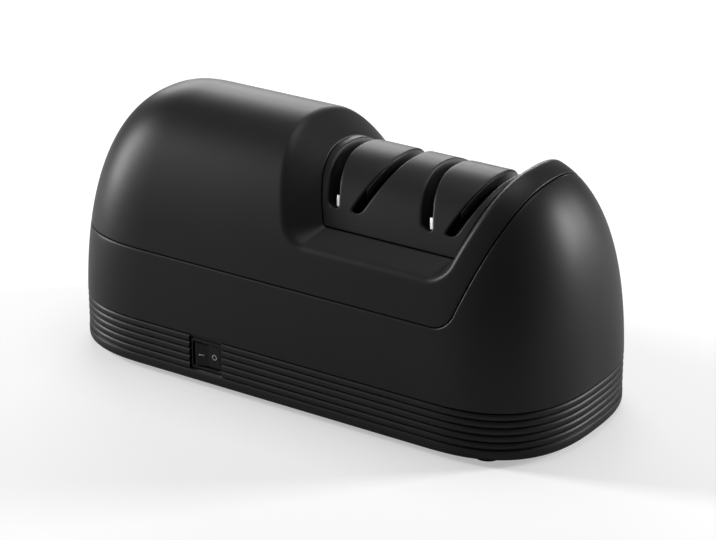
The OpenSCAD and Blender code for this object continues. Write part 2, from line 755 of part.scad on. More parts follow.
// The bracket that holds both bearings and carries the guide's posts
module spindle_frame() {
    color([0.6, 0.62, 0.65]) raised() difference() {
        union() {
            translate([left_bearing_x, -frame_w / 2, floor_t]) cube([frame_l, frame_w, flange_t]);
            translate([saddle_x - 12.4, -frame_pad[1] / 2, floor_t])
                cube([frame_pad[0], frame_pad[1], flange_t]);
            for (x = [left_bearing_x, right_bearing_x]) {
                translate([x, -frame_boss_r, floor_t]) cube([bearing_l, 2 * frame_boss_r, shaft_z - floor_t]);
                along_x(x, bearing_l, frame_boss_r);
            }
            for (p = guide_post) translate([p[0], p[1], floor_t])
                cylinder(h = guide_post_h - floor_t, r = post_r);
        }
        along_x(left_bearing_x - 1, frame_l + 2, bush_r);
        for (p = frame_post) translate([p[0], p[1], 0]) cylinder(h = 20, r = screw_r + hole_gap);
        for (p = guide_post) translate([p[0], p[1], 0]) {
            cylinder(h = guide_post_h + 1, r = screw_r + hole_gap);
            cylinder(h = guide_pad_z, r = screw_head_r + hole_gap);
        }
    }
}
// A bearing bush with its running clearance
module bush(x, len, r, bore) { color([0.72, 0.55, 0.3]) raised() tube_x(x, len, r, bore + run_gap); }
module spindle_bush_left() { bush(left_bearing_x, bearing_l, bush_r, spindle_r); }
module spindle_bush_right() { bush(right_bearing_x, bearing_l, bush_r, spindle_r); }
// Clips sit in grooves outside each pair of discs and beside each bearing
function clip_places() = concat([for (x = stages, side = [-1, 1])
        x + side * (stage_w / 2 + clip_gap + clip_t / 2)],
    [left_bearing_x + bearing_l + clip_gap + clip_t / 2, right_bearing_x - clip_gap - clip_t / 2]);
// The spindle, with grooves for its clips and a flat for the discs
module spindle() {
    color([0.75, 0.76, 0.78]) raised() difference() {
        along_x(spindle_x0, right_bearing_x + bearing_l + 1 - spindle_x0, spindle_r);
        for (x = clip_places()) tube_x(x - clip_t / 2, clip_t, spindle_r + 1, clip_bore_r);
        translate([coarse_x - stage_w, -spindle_r - 1, shaft_z + flat_z])
            cube([fine_x - coarse_x + 2 * stage_w, 2 * spindle_r + 2, spindle_r]);
    }
}
module disc_clips() {
    color([0.5, 0.5, 0.52]) raised() for (x = clip_places()) difference() {
        along_x(x - clip_t / 2 + clip_play, clip_t - 2 * clip_play, spindle_r + clip_reach);
        along_x(x - clip_t, 2 * clip_t, clip_bore_r + clip_play);
        translate([x - clip_t, -clip_bore_r - run_gap, shaft_z - spindle_r - 3])
            cube([2 * clip_t, 2 * (clip_bore_r + run_gap), spindle_r + 3]);
    }
}
// A grinding disc whose face looks to the given side of its stage
module disc(x, side) {
    raised() difference() {
        along_x(x + min(0, side) * stage_w / 2 + max(0, side) * disc_gap / 2, disc_t, disc_r);
        intersection() {
            along_x(x - stage_w, 2 * stage_w, spindle_r + run_gap);
            translate([x - stage_w, -disc_r, shaft_z - disc_r])
                cube([2 * stage_w, 2 * disc_r, disc_r + flat_z + run_gap]);
        }
    }
}
module coarse_disc_left() { color([0.45, 0.44, 0.42]) disc(coarse_x, -1); }
module coarse_disc_right() { color([0.45, 0.44, 0.42]) disc(coarse_x, 1); }
module fine_disc_left() { color([0.7, 0.69, 0.66]) disc(fine_x, -1); }
module fine_disc_right() { color([0.7, 0.69, 0.66]) disc(fine_x, 1); }
// A coil spring along X from x0, in one unbroken wire with its ends flat to its seats
module coil(x0, len, r, wire, turns) {
    n = coil_steps * turns;
    loft([for (i = [0:n]) let(a = 360 * i / coil_steps, x = x0 + wire + (len - 2 * wire) * i / n)
        [for (j = [0:coil_sides - 1]) let(b = 360 * j / coil_sides, q = r + wire * cos(b))
            [x + wire * sin(b), -q * sin(a), q * cos(a)]]], [[for (j = [0:coil_sides - 1]) j]]);
}
// The spring that pushes the discs of a stage apart
module disc_spring(x) {
    color("silver") raised() translate([0, 0, shaft_z])
        coil(x - disc_gap / 2 + spring_gap, disc_gap - 2 * spring_gap, spindle_r + 2.2,
            spring_wire, spring_turns);
}
module coarse_spring() { disc_spring(coarse_x); }
module fine_spring() { disc_spring(fine_x); }

// ---- motor ----

// The motor's can, open at the brush end
module motor_can() {
    color([0.5, 0.52, 0.55]) raised() difference() {
        along_x(motor_x0, motor_l, motor_r);
        along_x(motor_x0 - 1, motor_l - can_t + 1, motor_r - can_t);
        along_x(motor_x0, motor_l + 2, motor_bush_r);
    }
}
// The cap that closes the can and holds two brushes in sleeves
module motor_end_cap() {
    s = brush_w + 2 * sleeve_wall;
    color([0.2, 0.2, 0.22]) raised() difference() {
        union() {
            along_x(motor_x0 - cap_l, cap_l, motor_r);
            for (side = [-1, 1])
                translate([motor_x0 - 1, -s / 2, shaft_z + (side > 0 ? com_r + 1 : -sleeve_r)])
                cube([com_l, s, sleeve_r - 1 - com_r]);
        }
        along_x(motor_x0 - cap_l - 1, cap_l + 2, motor_bush_r);
        for (side = [-1, 1]) translate([motor_x0 + sleeve_wall, -brush_w / 2 - brush_gap,
                shaft_z + (side > 0 ? com_r : sleeve_wall - sleeve_r)])
            cube([brush_w + 2 * brush_gap, brush_w + 2 * brush_gap, sleeve_r - sleeve_wall - com_r]);
    }
}
module motor_brushes() {
    color([0.15, 0.15, 0.15]) raised() for (side = [-1, 1])
        translate([motor_x0 + sleeve_wall + brush_gap, -brush_w / 2,
            shaft_z + (side > 0 ? com_r + com_gap : -com_r - com_gap - brush_l)])
            cube([brush_w, brush_w, brush_l]);
}
module brush_springs() {
    z = com_r + com_gap + brush_l + brush_gap;
    color("silver") raised() for (side = [-1, 1])
        translate([motor_x0 + sleeve_wall + brush_w / 2, 0, shaft_z]) rotate([0, side > 0 ? -90 : 90, 0])
            coil(z, sleeve_r - sleeve_wall - z - brush_gap, brush_coil[0], brush_coil[1], brush_coil[2]);
}
// Two curved magnets, split at the sides
module motor_magnets() {
    color([0.25, 0.24, 0.24]) raised() difference() {
        tube_x(core_x0 - magnet_over, core_l + 2 * magnet_over, motor_r - can_t - press_gap * 5, magnet_in);
        translate([core_x0 - magnet_over - 1, -motor_r, shaft_z - magnet_split / 2])
            cube([core_l + 2 * magnet_over + 2, 2 * motor_r, magnet_split]);
    }
}
module motor_bush_front() { bush(motor_x1 - motor_bush_l, motor_bush_l, motor_bush_r, motor_shaft_r); }
module motor_bush_rear() { bush(motor_x0 - cap_l, motor_bush_l - 1, motor_bush_r, motor_shaft_r); }
module armature_core() {
    color([0.4, 0.4, 0.42]) raised() tube_x(core_x0, core_l, core_r, motor_shaft_r + press_gap);
}
// The ends of the windings, in front of and behind the core
module armature_windings() {
    color([0.72, 0.35, 0.16]) raised() for (x = [core_x0 - winding[1], core_x0 + core_l + winding[1]])
        translate([x, 0, shaft_z]) rotate([0, 90, 0]) rotate_extrude() translate([winding[0], 0])
            scale([winding[3], 1]) circle(r = winding[2]);
}
module commutator() {
    color([0.7, 0.42, 0.2]) raised() tube_x(com_x0, com_l, com_r, motor_shaft_r + press_gap);
}
module motor_shaft() {
    x0 = motor_x0 - cap_l + shaft_inset;
    color([0.75, 0.76, 0.78]) raised() along_x(x0, spindle_x0 - shaft_inset - x0, motor_shaft_r);
}
// A hub with straight blades
module cooling_fan() {
    color([0.85, 0.85, 0.82]) raised() {
        tube_x(fan_x0, fan_l, fan_hub_r, motor_shaft_r + press_gap);
        for (i = [0:fan_blades - 1]) translate([fan_x0, 0, shaft_z]) rotate([360 / fan_blades * i, 0, 0])
            translate([blade[0], -blade[2] / 2, blade[1]]) cube([fan_l - 2 * blade[0], blade[2], blade[3]]);
    }
}
// The sleeve that joins the motor's shaft to the spindle
module coupling() {
    color([0.2, 0.2, 0.2]) raised() difference() {
        along_x(coupling_x0, coupling_l, coupling_r);
        along_x(coupling_x0 - 1, coupling_l, motor_shaft_r + press_gap);
        along_x(spindle_x0 - seat_gap * 1.5, coupling_l, spindle_r + press_gap);
    }
}
// The block under the motor
module motor_cradle() {
    color([0.35, 0.35, 0.37]) raised() difference() {
        union() {
            translate([cradle_post[0][0] - 5, -cradle_w / 2, floor_t])
                cube([cradle_post[2][0] - cradle_post[0][0] + 10, cradle_w, flange_t]);
            translate([cradle_x - cradle_l / 2, -cradle_w / 2, floor_t])
                cube([cradle_l, cradle_w, shaft_z - floor_t]);
        }
        along_x(motor_x0, motor_l, motor_r + can_gap);
        for (p = cradle_post) translate([p[0], p[1], 0]) cylinder(h = 20, r = screw_r + hole_gap);
        for (p = strap_post) translate([p[0], p[1], shaft_z - strap_pilot])
            cylinder(h = 20, r = screw_r + hole_gap);
    }
}
// The strap over the motor
module motor_strap() {
    color([0.6, 0.62, 0.65]) raised() difference() {
        union() {
            along_x(cradle_x - cradle_l / 2, cradle_l, motor_r + strap_t);
            translate([cradle_x - cradle_l / 2, -cradle_w / 2, shaft_z])
                cube([cradle_l, cradle_w, strap_ear_t + strap_gap]);
        }
        along_x(motor_x0, motor_l, motor_r + can_gap);
        translate([motor_x0, -body_w / 2, shaft_z - body_h]) cube([motor_l, body_w, body_h + strap_gap]);
        for (p = strap_post) translate([p[0], p[1], shaft_z - strap_pilot])
            cylinder(h = 40, r = screw_r + hole_gap);
    }
}

// ---- circuit ----

// The board on its four posts
module circuit_board() {
    color([0.1, 0.35, 0.15]) raised() difference() {
        translate([board_x - board[0] / 2, board_y - board[1] / 2, board_z]) cube(board);
        for (p = board_post) translate([p[0], p[1], 0]) cylinder(h = 30, r = board_screw_r + hole_gap);
    }
}
module bridge_rectifier() {
    color([0.1, 0.1, 0.1]) raised()
        translate([board_x + rectifier_reach, board_y - rectifier[1] / 2, board_top]) cube(rectifier);
}
module smoothing_capacitor() {
    color([0.15, 0.2, 0.45]) raised() translate([board_x + capacitor_reach, board_y, board_top])
        cylinder(h = capacitor_h, r = capacitor_r);
}
module choke_coil() {
    color([0.7, 0.4, 0.18]) raised()
        translate([board_x + choke_reach, board_y, board_top + choke_ring_r + choke_wire_r]) rotate([0, 90, 0]) rotate_extrude() translate([choke_ring_r, 0]) circle(r = choke_wire_r);
}
module board_fuse() {
    color([0.85, 0.85, 0.8]) raised()
        translate([board_x + fuse_reach[0], board_y + fuse_reach[1], board_top + fuse_r]) rotate([90, 0, 0]) cylinder(h = fuse_l, r = fuse_r);
}
// A round lead that follows one smooth curve from a to d
module lead(a, b, c, d, r) {
    function at(t) = pow(1 - t, 3) * a + 3 * t * pow(1 - t, 2) * b + 3 * t * t * (1 - t) * c + pow(t, 3) * d;
    loft([for (i = [0:lead_steps]) let(t = i / lead_steps, p = at(t),
            v = at(min(1, t + 0.01)) - at(max(0, t - 0.01)), f = v / norm(v),
            u = cross(f, [0.3, 1, 0.2]), n = u / norm(u), m = cross(f, n))
        [for (j = [0:7]) p + r * (cos(45 * j) * n + sin(45 * j) * m)]], [[for (j = [0:7]) j]]);
}
// Leads from the outer terminals to the board
module switch_leads() {
    y0 = -body_w / 2 + bezel_in + switch_d + terminal[1] + lead_clear;
    y1 = board_y - board[1] / 2 + 1.2;
    color([0.5, 0.1, 0.1]) raised() for (k = [0, 1]) {
        x0 = switch_x + terminal_x[2 * k];
        x1 = switch_pads[k];
        lead([x0, y0, switch_z], [x0, y0 + 18, switch_z], [x1, y1 - 18, board_top + 3],
            [x1, y1, board_top + lead_r + 0.1], lead_r);
    }
}
// The motor's leads rise behind the motor and come down on its end cap
module motor_leads() {
    color([0.1, 0.15, 0.5]) raised() for (k = [0, 1]) let(side = 1 - 2 * k, x = motor_pads[k])
        lead([x, board_y - 0.5, board_top + pad_gap], [x, board_y + 5.5, shaft_z + 14],
            [motor_x0 - 18, 24 + side * 3, shaft_z + 20 - side * 3],
            [motor_x0 - cap_l - cap_gap, 11 + side * 2.5, shaft_z + 12 - side * 2], lead_r);
}

base_tray();
lower_housing();
upper_cover();
guide_cover();
blade_springs();
rubber_feet();
switch_body();
switch_terminals();
rocker();
base_screws();
cover_screws();
guide_screws();
mount_screws();
strap_screws();
board_screws();
spindle_frame();
spindle_bush_left();
spindle_bush_right();
motor_cradle();
motor_strap();
motor_can();
motor_end_cap();
motor_magnets();
motor_brushes();
brush_springs();
motor_bush_front();
motor_bush_rear();
armature_core();
armature_windings();
commutator();
motor_shaft();
cooling_fan();
coupling();
spindle();
disc_clips();
coarse_spring();
fine_spring();
coarse_disc_left();
coarse_disc_right();
fine_disc_left();
fine_disc_right();
circuit_board();
bridge_rectifier();
smoothing_capacitor();
choke_coil();
board_fuse();
cord_gland();
gland_nut();
switch_leads();
motor_leads();
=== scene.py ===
"""Looks of an electric knife sharpener: domed shells, ribbed base, slotted guide, switch and feet."""
import json
import math

import bmesh
import bpy
import numpy as np
from mathutils import Matrix, Vector
from mathutils.geometry import delaunay_2d_cdt


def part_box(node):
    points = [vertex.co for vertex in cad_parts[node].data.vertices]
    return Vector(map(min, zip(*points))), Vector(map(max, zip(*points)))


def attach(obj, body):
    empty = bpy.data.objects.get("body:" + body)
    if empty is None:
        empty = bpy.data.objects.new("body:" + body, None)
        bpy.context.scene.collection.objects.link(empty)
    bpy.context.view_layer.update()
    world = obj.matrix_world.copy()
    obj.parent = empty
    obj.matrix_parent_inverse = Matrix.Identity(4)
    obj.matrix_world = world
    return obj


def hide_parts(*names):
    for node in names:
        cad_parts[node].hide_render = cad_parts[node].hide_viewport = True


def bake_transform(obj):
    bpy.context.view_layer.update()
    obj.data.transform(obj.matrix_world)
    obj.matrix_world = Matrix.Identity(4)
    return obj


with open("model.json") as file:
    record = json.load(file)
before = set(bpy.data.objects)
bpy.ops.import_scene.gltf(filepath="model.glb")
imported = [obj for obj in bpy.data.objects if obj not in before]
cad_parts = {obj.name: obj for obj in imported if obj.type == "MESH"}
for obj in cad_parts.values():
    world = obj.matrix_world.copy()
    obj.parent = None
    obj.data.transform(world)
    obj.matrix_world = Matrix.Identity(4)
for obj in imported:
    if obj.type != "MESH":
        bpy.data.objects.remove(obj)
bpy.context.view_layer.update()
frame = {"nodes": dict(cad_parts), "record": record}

bl_info = {
    "name": "Electric knife sharpener",
    "version": (1, 0, 0),
    "blender": (4, 5, 0),
    "location": "3D View > Sidebar > Sharpener",
    "description": "Builds the housing, guide, switch and feet of an electric knife sharpener",
    "category": "Object",
}

MM = 0.001
MIRROR = np.array([1, -1, 1])
RIGHT = math.pi / 2
FRONT, REAR = np.array([0, -1.0, 0]), np.array([0, 1.0, 0])
# Height of the base's underside above the surface that the feet stand on, in millimetres
FOOT_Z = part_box("base_tray")[0][2] / MM


# ---- properties ----

def size(name, text, value, low, high):
    """A length, given here in millimetres."""
    return bpy.props.FloatProperty(name=name, description=text, subtype="DISTANCE", precision=4,
                                   default=value * MM, min=low * MM, max=high * MM)


def angle(name, text, value, low, high):
    """An angle, given here in degrees."""
    return bpy.props.FloatProperty(name=name, description=text, subtype="ANGLE", default=math.radians(value),
                                   min=math.radians(low), max=math.radians(high))


def ratio(name, text, value, low, high):
    """A power, a lean or another plain number."""
    return bpy.props.FloatProperty(name=name, description=text, default=value, min=low, max=high)


class SharpenerShape(bpy.types.PropertyGroup):
    """Sizes of the housing, above the underside of the base."""
    body_l: size("Length", "Length of the housing", 225.0, 215, 245)
    body_w: size("Width", "Width of the housing", 98.4, 94, 110)
    body_h: size("Height", "Height of the housing", 102.8, 100, 110)
    end_reach: size("End reach", "Length of each rounded end", 47.0, 40, 50)
    plan_power: ratio("Plan power", "Rounding of the ends from above", 2.63, 2.2, 3)
    side_power: ratio("Side power", "Rounding of the ends from the front", 2.75, 2.2, 3)
    arch_power: ratio("Arch power", "Rounding of the cross-section", 2.34, 2.1, 2.6)
    knee_z: size("Knee", "Height up to which the walls are upright", 10.8, 9, 14)
    gap: size("Gap", "Gap between two mouldings", 0.2, 0.1, 0.4)
    edge_r: size("Edge radius", "Rounding of a moulding's edge", 0.45, 0.2, 0.8)
    seam_edge: size("Seam edge", "Rounding of the lower housing along the seam", 0.95, 0.3, 1.2)
    wall: size("Wall", "Thickness of a moulding", 2.4, 1, 4)
    seam_z: size("Seam", "Height of the seam", 48.5, 44, 52)
    seam_margin: size("Seam margin", "From the saddle to the seam", 10.4, 9, 12)
    seam_r: size("Seam corner", "Radius of the seam's corner", 9.0, 5, 12)
    saddle_x: size("Saddle middle", "Middle of the saddle", 34.4, 32, 36)
    saddle_half: size("Saddle half", "Half of the saddle's length", 34.4, 33, 36)
    saddle_lean: ratio("Saddle lean", "Lean of the saddle's ends", 0.36, 0.3, 0.42)
    saddle_z: size("Saddle edge", "Height of the saddle's front edge", 65.0, 63, 67)
    saddle_r: size("Saddle corner", "Rounding of the saddle's corners", 7.0, 4, 9)
    saddle_roll: size("Saddle roll", "Rounding along the saddle's edge", 2.0, 0.5, 4)
    guide_depth: size("Guide depth", "Depth of the guide below the skin", 9.2, 8, 10.5)
    guide_z: size("Guide foot", "Height of the guide's feet", 70.0, 69, 71)
    guide_left: size("Guide left", "Left end of the guide's foot", 9.3, 8.5, 10)
    guide_right: size("Guide right", "Right end of the guide's foot", 67.9, 67, 69)
    left_lean: ratio("Left lean", "Lean of the guide's left end", 0.47, 0.44, 0.5)
    right_lean: ratio("Right lean", "Lean of the guide's right end", 0.31, 0.28, 0.36)
    guide_gap: size("Guide gap", "Gap between the guide and its bed", 0.3, 0.2, 0.8)
    coarse_x: size("Coarse stage", "Middle of the coarse stage", 16.4, 15.8, 17)
    fine_x: size("Fine stage", "Middle of the fine stage", 58.0, 57.5, 58.5)
    grind_angle: angle("Grinding angle", "Lean of the slots", 23.3, 21, 25)
    slot_w: size("Slot width", "Width of a slot", 4.8, 3.6, 5.4)
    slot_roll: size("Slot roll", "Rounding of a slot's mouth", 0.7, 0.3, 1)
    slot_depth: size("Slot depth", "Depth of a slot's walls", 12.0, 6, 16)
    slot_end_z: size("Slot end", "Height where the slots end", 77.0, 75, 79)
    tongue_w: size("Tongue width", "Width of a spring strip's turned-out end", 2.2, 1, 2.6)
    tongue_l: size("Tongue length", "Length of a spring strip's turned-out end", 4.6, 3, 6)
    tongue_from_end: size("Tongue place", "From a slot's end to the tongue", 1.4, 1, 3)
    tongue_deep: size("Tongue depth", "From the guide's face down to the tongue", 1.5, 0.5, 2)
    tongue_t: size("Tongue thickness", "Thickness of the spring strip", 0.35, 0.2, 0.5)
    bite_z: size("Bite", "Height where a blade meets a disc", 75.5, 74, 77)
    stage_w: size("Stage width", "Between a stage's grinding faces", 8.6, 8.2, 9.2)


class SharpenerBase(bpy.types.PropertyGroup):
    """Sizes of the base, its ribs, feet and switch."""
    tray_h: size("Height", "Height of the base", 19.2, 18, 21)
    lip_r: size("Lip radius", "Rounding of the base's lower edge", 1.4, 0.5, 2)
    rib_count: bpy.props.IntProperty(name="Ribs", description="How many ribs go round the base",
                                     default=5, min=3, max=5)
    rib_pitch: size("Rib pitch", "Height of one rib", 2.94, 2.6, 3)
    rib_depth: size("Rib depth", "Depth between ribs", 1.1, 0.6, 1.4)
    land: size("Land", "Plain band above the ribs", 0.2, 0.1, 1)
    switch_x: size("Switch place", "Middle of the switch", -34.4, -42, -30)
    switch_z: size("Switch height", "Height of the switch's middle", 11.4, 10, 12)
    bezel_w: size("Bezel width", "Width of the switch's frame", 15.3, 13, 17)
    bezel_h: size("Bezel height", "Height of the switch's frame", 13.2, 12, 14)
    bezel_in: size("Bezel inset", "Depth of the frame's face", 1.0, 0.5, 1.5)
    cavity_w: size("Cavity width", "Width of the frame's opening", 13.2, 10, 14)
    cavity_h: size("Cavity height", "Height of the frame's opening", 10.2, 9, 11)
    cavity_d: size("Cavity depth", "Depth of the cavity behind the frame's face", 9.0, 6, 12)
    rocker_w: size("Rocker width", "Width of the rocker", 11.4, 10, 12)
    rocker_h: size("Rocker height", "Height of the rocker", 9.6, 8, 10)
    pivot_in: size("Pivot inset", "Depth of the rocker's pivot", 5.8, 5, 7)
    rock_angle: angle("Rock angle", "Swing of the rocker", 14.0, 10, 16)
    gland_x: size("Gland place", "Middle of the cord gland", -55.0, -60, -50)
    gland_z: size("Gland height", "Height of the cord gland", 11.0, 10, 12)
    gland_r: size("Gland radius", "Radius of the gland's flange", 7.4, 6, 8)
    foot_x: size("Foot place", "Feet from the middle, lengthways", 87.0, 80, 92)
    foot_y: size("Foot spread", "Feet from the middle, crossways", 37.0, 30, 38)
    foot_r: size("Foot radius", "Radius of a foot", 5.5, 4, 7)
    screw_r: size("Screw hole", "Radius of a screw's recess", 3.25, 2.5, 4)


def colour(name, text, value):
    """A plain colour."""
    return bpy.props.FloatVectorProperty(name=name, description=text, subtype="COLOR", size=3,
                                         default=value, min=0.0, max=1.0)


class SharpenerColours(bpy.types.PropertyGroup):
    """Colours of the visible finishes."""
    housing: colour("Housing", "Satin black of the shells", (0.0080, 0.0080, 0.0082))
    base: colour("Base", "Black of the ribbed base", (0.0080, 0.0080, 0.0081))
    guide: colour("Guide", "Black of the guide cover", (0.0105, 0.0105, 0.0106))
    switch: colour("Switch", "Black of the switch", (0.0080, 0.0080, 0.0080))
    marks: colour("Marks", "White of the switch's marks", (0.38, 0.38, 0.38))
    rubber: colour("Rubber", "Dark grey of the feet", (0.02, 0.02, 0.02))
    stage: colour("Stage", "Pale floor", (0.68, 0.68, 0.68))


class Sizes:
    """The values of a property group: lengths in millimetres, angles in radians, numbers as they are."""

    def __init__(self, group):
        for item in group.bl_rna.properties:
            if item.type in {"FLOAT", "INT"}:
                value = getattr(group, item.identifier)
                setattr(self, item.identifier, round(value / MM, 4) if item.unit == "LENGTH" else value)


# ---- the domed shape ----

# Below this a height, a share or an angle counts as nothing, and so does a vector's length below the second
TINY, NO_LENGTH = 1e-9, 1e-12
# Least width or height of the skin that a share of it is taken of; nearer than this is the middle plane
SLENDER = 1e-6
# Points nearer than this are one point, and an edge shorter than the second is none, in metres
DOUBLE, SLIVER = 1e-6, 1e-8
# The same for points of a flat plate, in millimetres
PLATE_DOUBLE = 1e-6
# Arch angle that distances along the arch are counted from, and the number of points counted on
ARC_FROM, ARC_POINTS = 0.3, 1500
# Where a slope is felt, as a share of the way out to the skin, and how far to each side of it
SLOPE_AT, SLOPE_STEP = 0.9995, 0.01
# Least climb of the seam to the crown, how far below the top it ends at most, and the halvings that find it
SEAM_CLIMB, SEAM_SHY, HALVINGS = 15, 0.01, 50
# Columns crowd towards an end's pole by this power, and are even beyond this share of the way
CROWDING, BEND = 2.34, 0.3


class Dome:
    """The fitted skin of the housing; every half is the front one, with y below zero."""

    def __init__(self, p):
        self.p = p
        self.x_mid = p.body_l / 2 - p.end_reach
        self.tables = [self.arc_table(0.0, p.saddle_z), self.arc_table(p.guide_depth, p.guide_z)]
        self.saddle_arc, self.guide_arc = (table[0][-1] for table in self.tables)
        s, _, z = self.tables[1]
        self.slot_start = float(np.interp(p.slot_end_z, z, s))

    def shrink(self, x, g, power):
        """Share that the rounding of the ends leaves of a width or height at x."""
        t = np.clip((np.abs(x) - self.x_mid) / (self.p.end_reach - g), 0.0, 1.0)
        return np.maximum(1 - t ** power, 0.0) ** (1 / power)

    def crown(self, x, g=0.0):
        """Height of the skin's top at x."""
        p = self.p
        return p.knee_z + (p.body_h - g - p.knee_z) * self.shrink(x, g, p.side_power)

    def half_width(self, x, g=0.0):
        """Half of the skin's width at x."""
        return (self.p.body_w / 2 - g) * self.shrink(x, g, self.p.plan_power)

    def skin(self, x, a, g=0.0):
        """Points of the skin inset by g, at x and arch angle a from the front wall up to the crown."""
        p = self.p
        x, a = np.broadcast_arrays(np.asarray(x, float), np.asarray(a, float))
        c = np.where(a > RIGHT - TINY, 0.0, np.cos(a))
        y = -self.half_width(x, g) * c ** (2 / p.arch_power)
        z = p.knee_z + (self.crown(x, g) - p.knee_z) * np.sin(a) ** (2 / p.arch_power)
        return np.stack([x, y, z], -1)

    def angle(self, z, x, g=0.0):
        """Arch angle at which the skin reaches height z."""
        p = self.p
        rise = np.maximum(self.crown(x, g) - p.knee_z, TINY)
        return np.arcsin(np.clip((z - p.knee_z) / rise, 0.0, 1.0) ** (p.arch_power / 2))

    def at_height(self, x, z):
        """Points of the skin at x and height z."""
        p = self.p
        rise = np.maximum(self.crown(x) - p.knee_z, TINY)
        rest = np.maximum(1 - np.clip((z - p.knee_z) / rise, 0, 1) ** p.arch_power, 0.0)
        y = -self.half_width(x) * np.where(rest < TINY, 0.0, rest) ** (1 / p.arch_power)
        return np.stack(np.broadcast_arrays(x, y, z), -1)

    def arch_rows(self, x, low, share):
        """Skin points a share of the way from height low up to the crown."""
        a = self.angle(low, x)
        return self.skin(x, a + (RIGHT - a) * share)

    def x_of_crown(self, z):
        """Distance from the middle at which the crown comes down to height z."""
        p = self.p
        s = (z - p.knee_z) / (p.body_h - p.knee_z)
        return self.x_mid + p.end_reach * np.maximum(1 - s ** p.side_power, 0) ** (1 / p.side_power)

    def level(self, q, g):
        """A value that rises outwards from the skin and stays the same along it."""
        p = self.p
        y = np.abs(q[..., 1]) / np.maximum(self.half_width(q[..., 0], g), SLENDER)
        z = np.maximum(q[..., 2] - p.knee_z, 0) / np.maximum(self.crown(q[..., 0], g) - p.knee_z, SLENDER)
        return y ** p.arch_power + z ** p.arch_power

    def normal(self, q, g=0.0):
        """Outward unit normals of the skin at points q."""
        base = np.array([0, 0, self.p.knee_z])
        inner = base + (q - base) * SLOPE_AT
        steps = np.eye(3) * SLOPE_STEP
        n = np.stack([self.level(inner + d, g) - self.level(inner - d, g) for d in steps], -1)
        n[..., 1] = np.where(np.abs(q[..., 1]) < SLENDER, 0.0, n[..., 1])
        return unit(n)

    def arc_table(self, g, z0):
        """Distance up the arch from height z0, with the arch angle and the height, at the saddle's middle."""
        a = np.linspace(ARC_FROM, RIGHT, ARC_POINTS)
        q = self.skin(self.p.saddle_x, a, g)
        s = np.concatenate([[0], np.cumsum(np.linalg.norm(np.diff(q, axis=0), axis=1))])
        return s - np.interp(z0, q[:, 2], s), a, q[:, 2]

    def arch_angle(self, s, bed):
        """Arch angle at distance s above the saddle's edge (bed 0) or the guide's foot (bed 1)."""
        return np.interp(s, *self.tables[bed][:2])

    def arch_height(self, a, bed):
        """Height at arch angle a, at the saddle's middle."""
        return np.interp(a, self.tables[bed][1], self.tables[bed][2])

    def saddle_end(self, side, z):
        """Where the saddle ends on one side at height z."""
        p = self.p
        return p.saddle_x + side * (p.saddle_half + p.saddle_lean * (z - p.saddle_z))

    def guide_end(self, side, z):
        """Where the guide ends on one side at height z."""
        p = self.p
        if side < 0:
            return p.guide_left - p.left_lean * (z - p.guide_z)
        return p.guide_right + p.right_lean * (z - p.guide_z)

    def seam_corner(self, out):
        """Arc centre, arc radius and lean of the seam moved out of the upper cover."""
        p = self.p
        lean = math.atan2(1, p.saddle_lean)
        x0 = self.saddle_end(1, p.seam_z) + p.seam_margin
        return x0 - p.seam_r / math.tan((math.pi - lean) / 2), p.seam_z + p.seam_r, p.seam_r + out, lean

    def seam_x(self, z, out):
        """Where the seam lies at height z, beyond its corner."""
        cx, cz, r, lean = self.seam_corner(out)
        turn = np.arccos(np.clip((cz - z) / r, -1, 1))
        line = cx + r * math.sin(lean) + (z - cz + r * math.cos(lean)) / math.tan(lean)
        return np.where(turn < lean, cx + r * np.sin(turn), line)

    def seam_crown(self, out):
        """Height at which the seam crosses the crown."""
        low, high = self.p.seam_z + SEAM_CLIMB, self.p.body_h - SEAM_SHY
        for _ in range(HALVINGS):
            z = (low + high) / 2
            if self.seam_x(z, out) < self.x_of_crown(z):
                low = z
            else:
                high = z
        return low

    def slot_x(self, stage, side, z):
        """Middle of a slot at height z; side is -1 for the stage's left slot."""
        p = self.p
        lean = math.tan(p.grind_angle)
        return (p.coarse_x, p.fine_x)[stage] + side * (p.stage_w / 2 + lean * (z - p.bite_z))


def mesh_object(name, pts, faces, material):
    """A smooth object from points in metres and faces, with its doubles merged."""
    mesh = bpy.data.meshes.new(name)
    mesh.from_pydata(np.asarray(pts).tolist(), [], faces)
    bm = bmesh.new()
    bm.from_mesh(mesh)
    bmesh.ops.remove_doubles(bm, verts=bm.verts, dist=DOUBLE)
    bmesh.ops.dissolve_degenerate(bm, edges=bm.edges, dist=SLIVER)
    bm.to_mesh(mesh)
    bm.free()
    mesh.polygons.foreach_set("use_smooth", [True] * len(mesh.polygons))
    mesh.materials.append(material)
    return link_object(name, mesh)


def link_object(name, mesh):
    """An object in the scene that shows a mesh."""
    obj = bpy.data.objects.new(name, mesh)
    bpy.context.scene.collection.objects.link(obj)
    return obj


# ---- the sheets that make up a moulding ----

# Points round a softened edge
EDGE_POINTS = 6


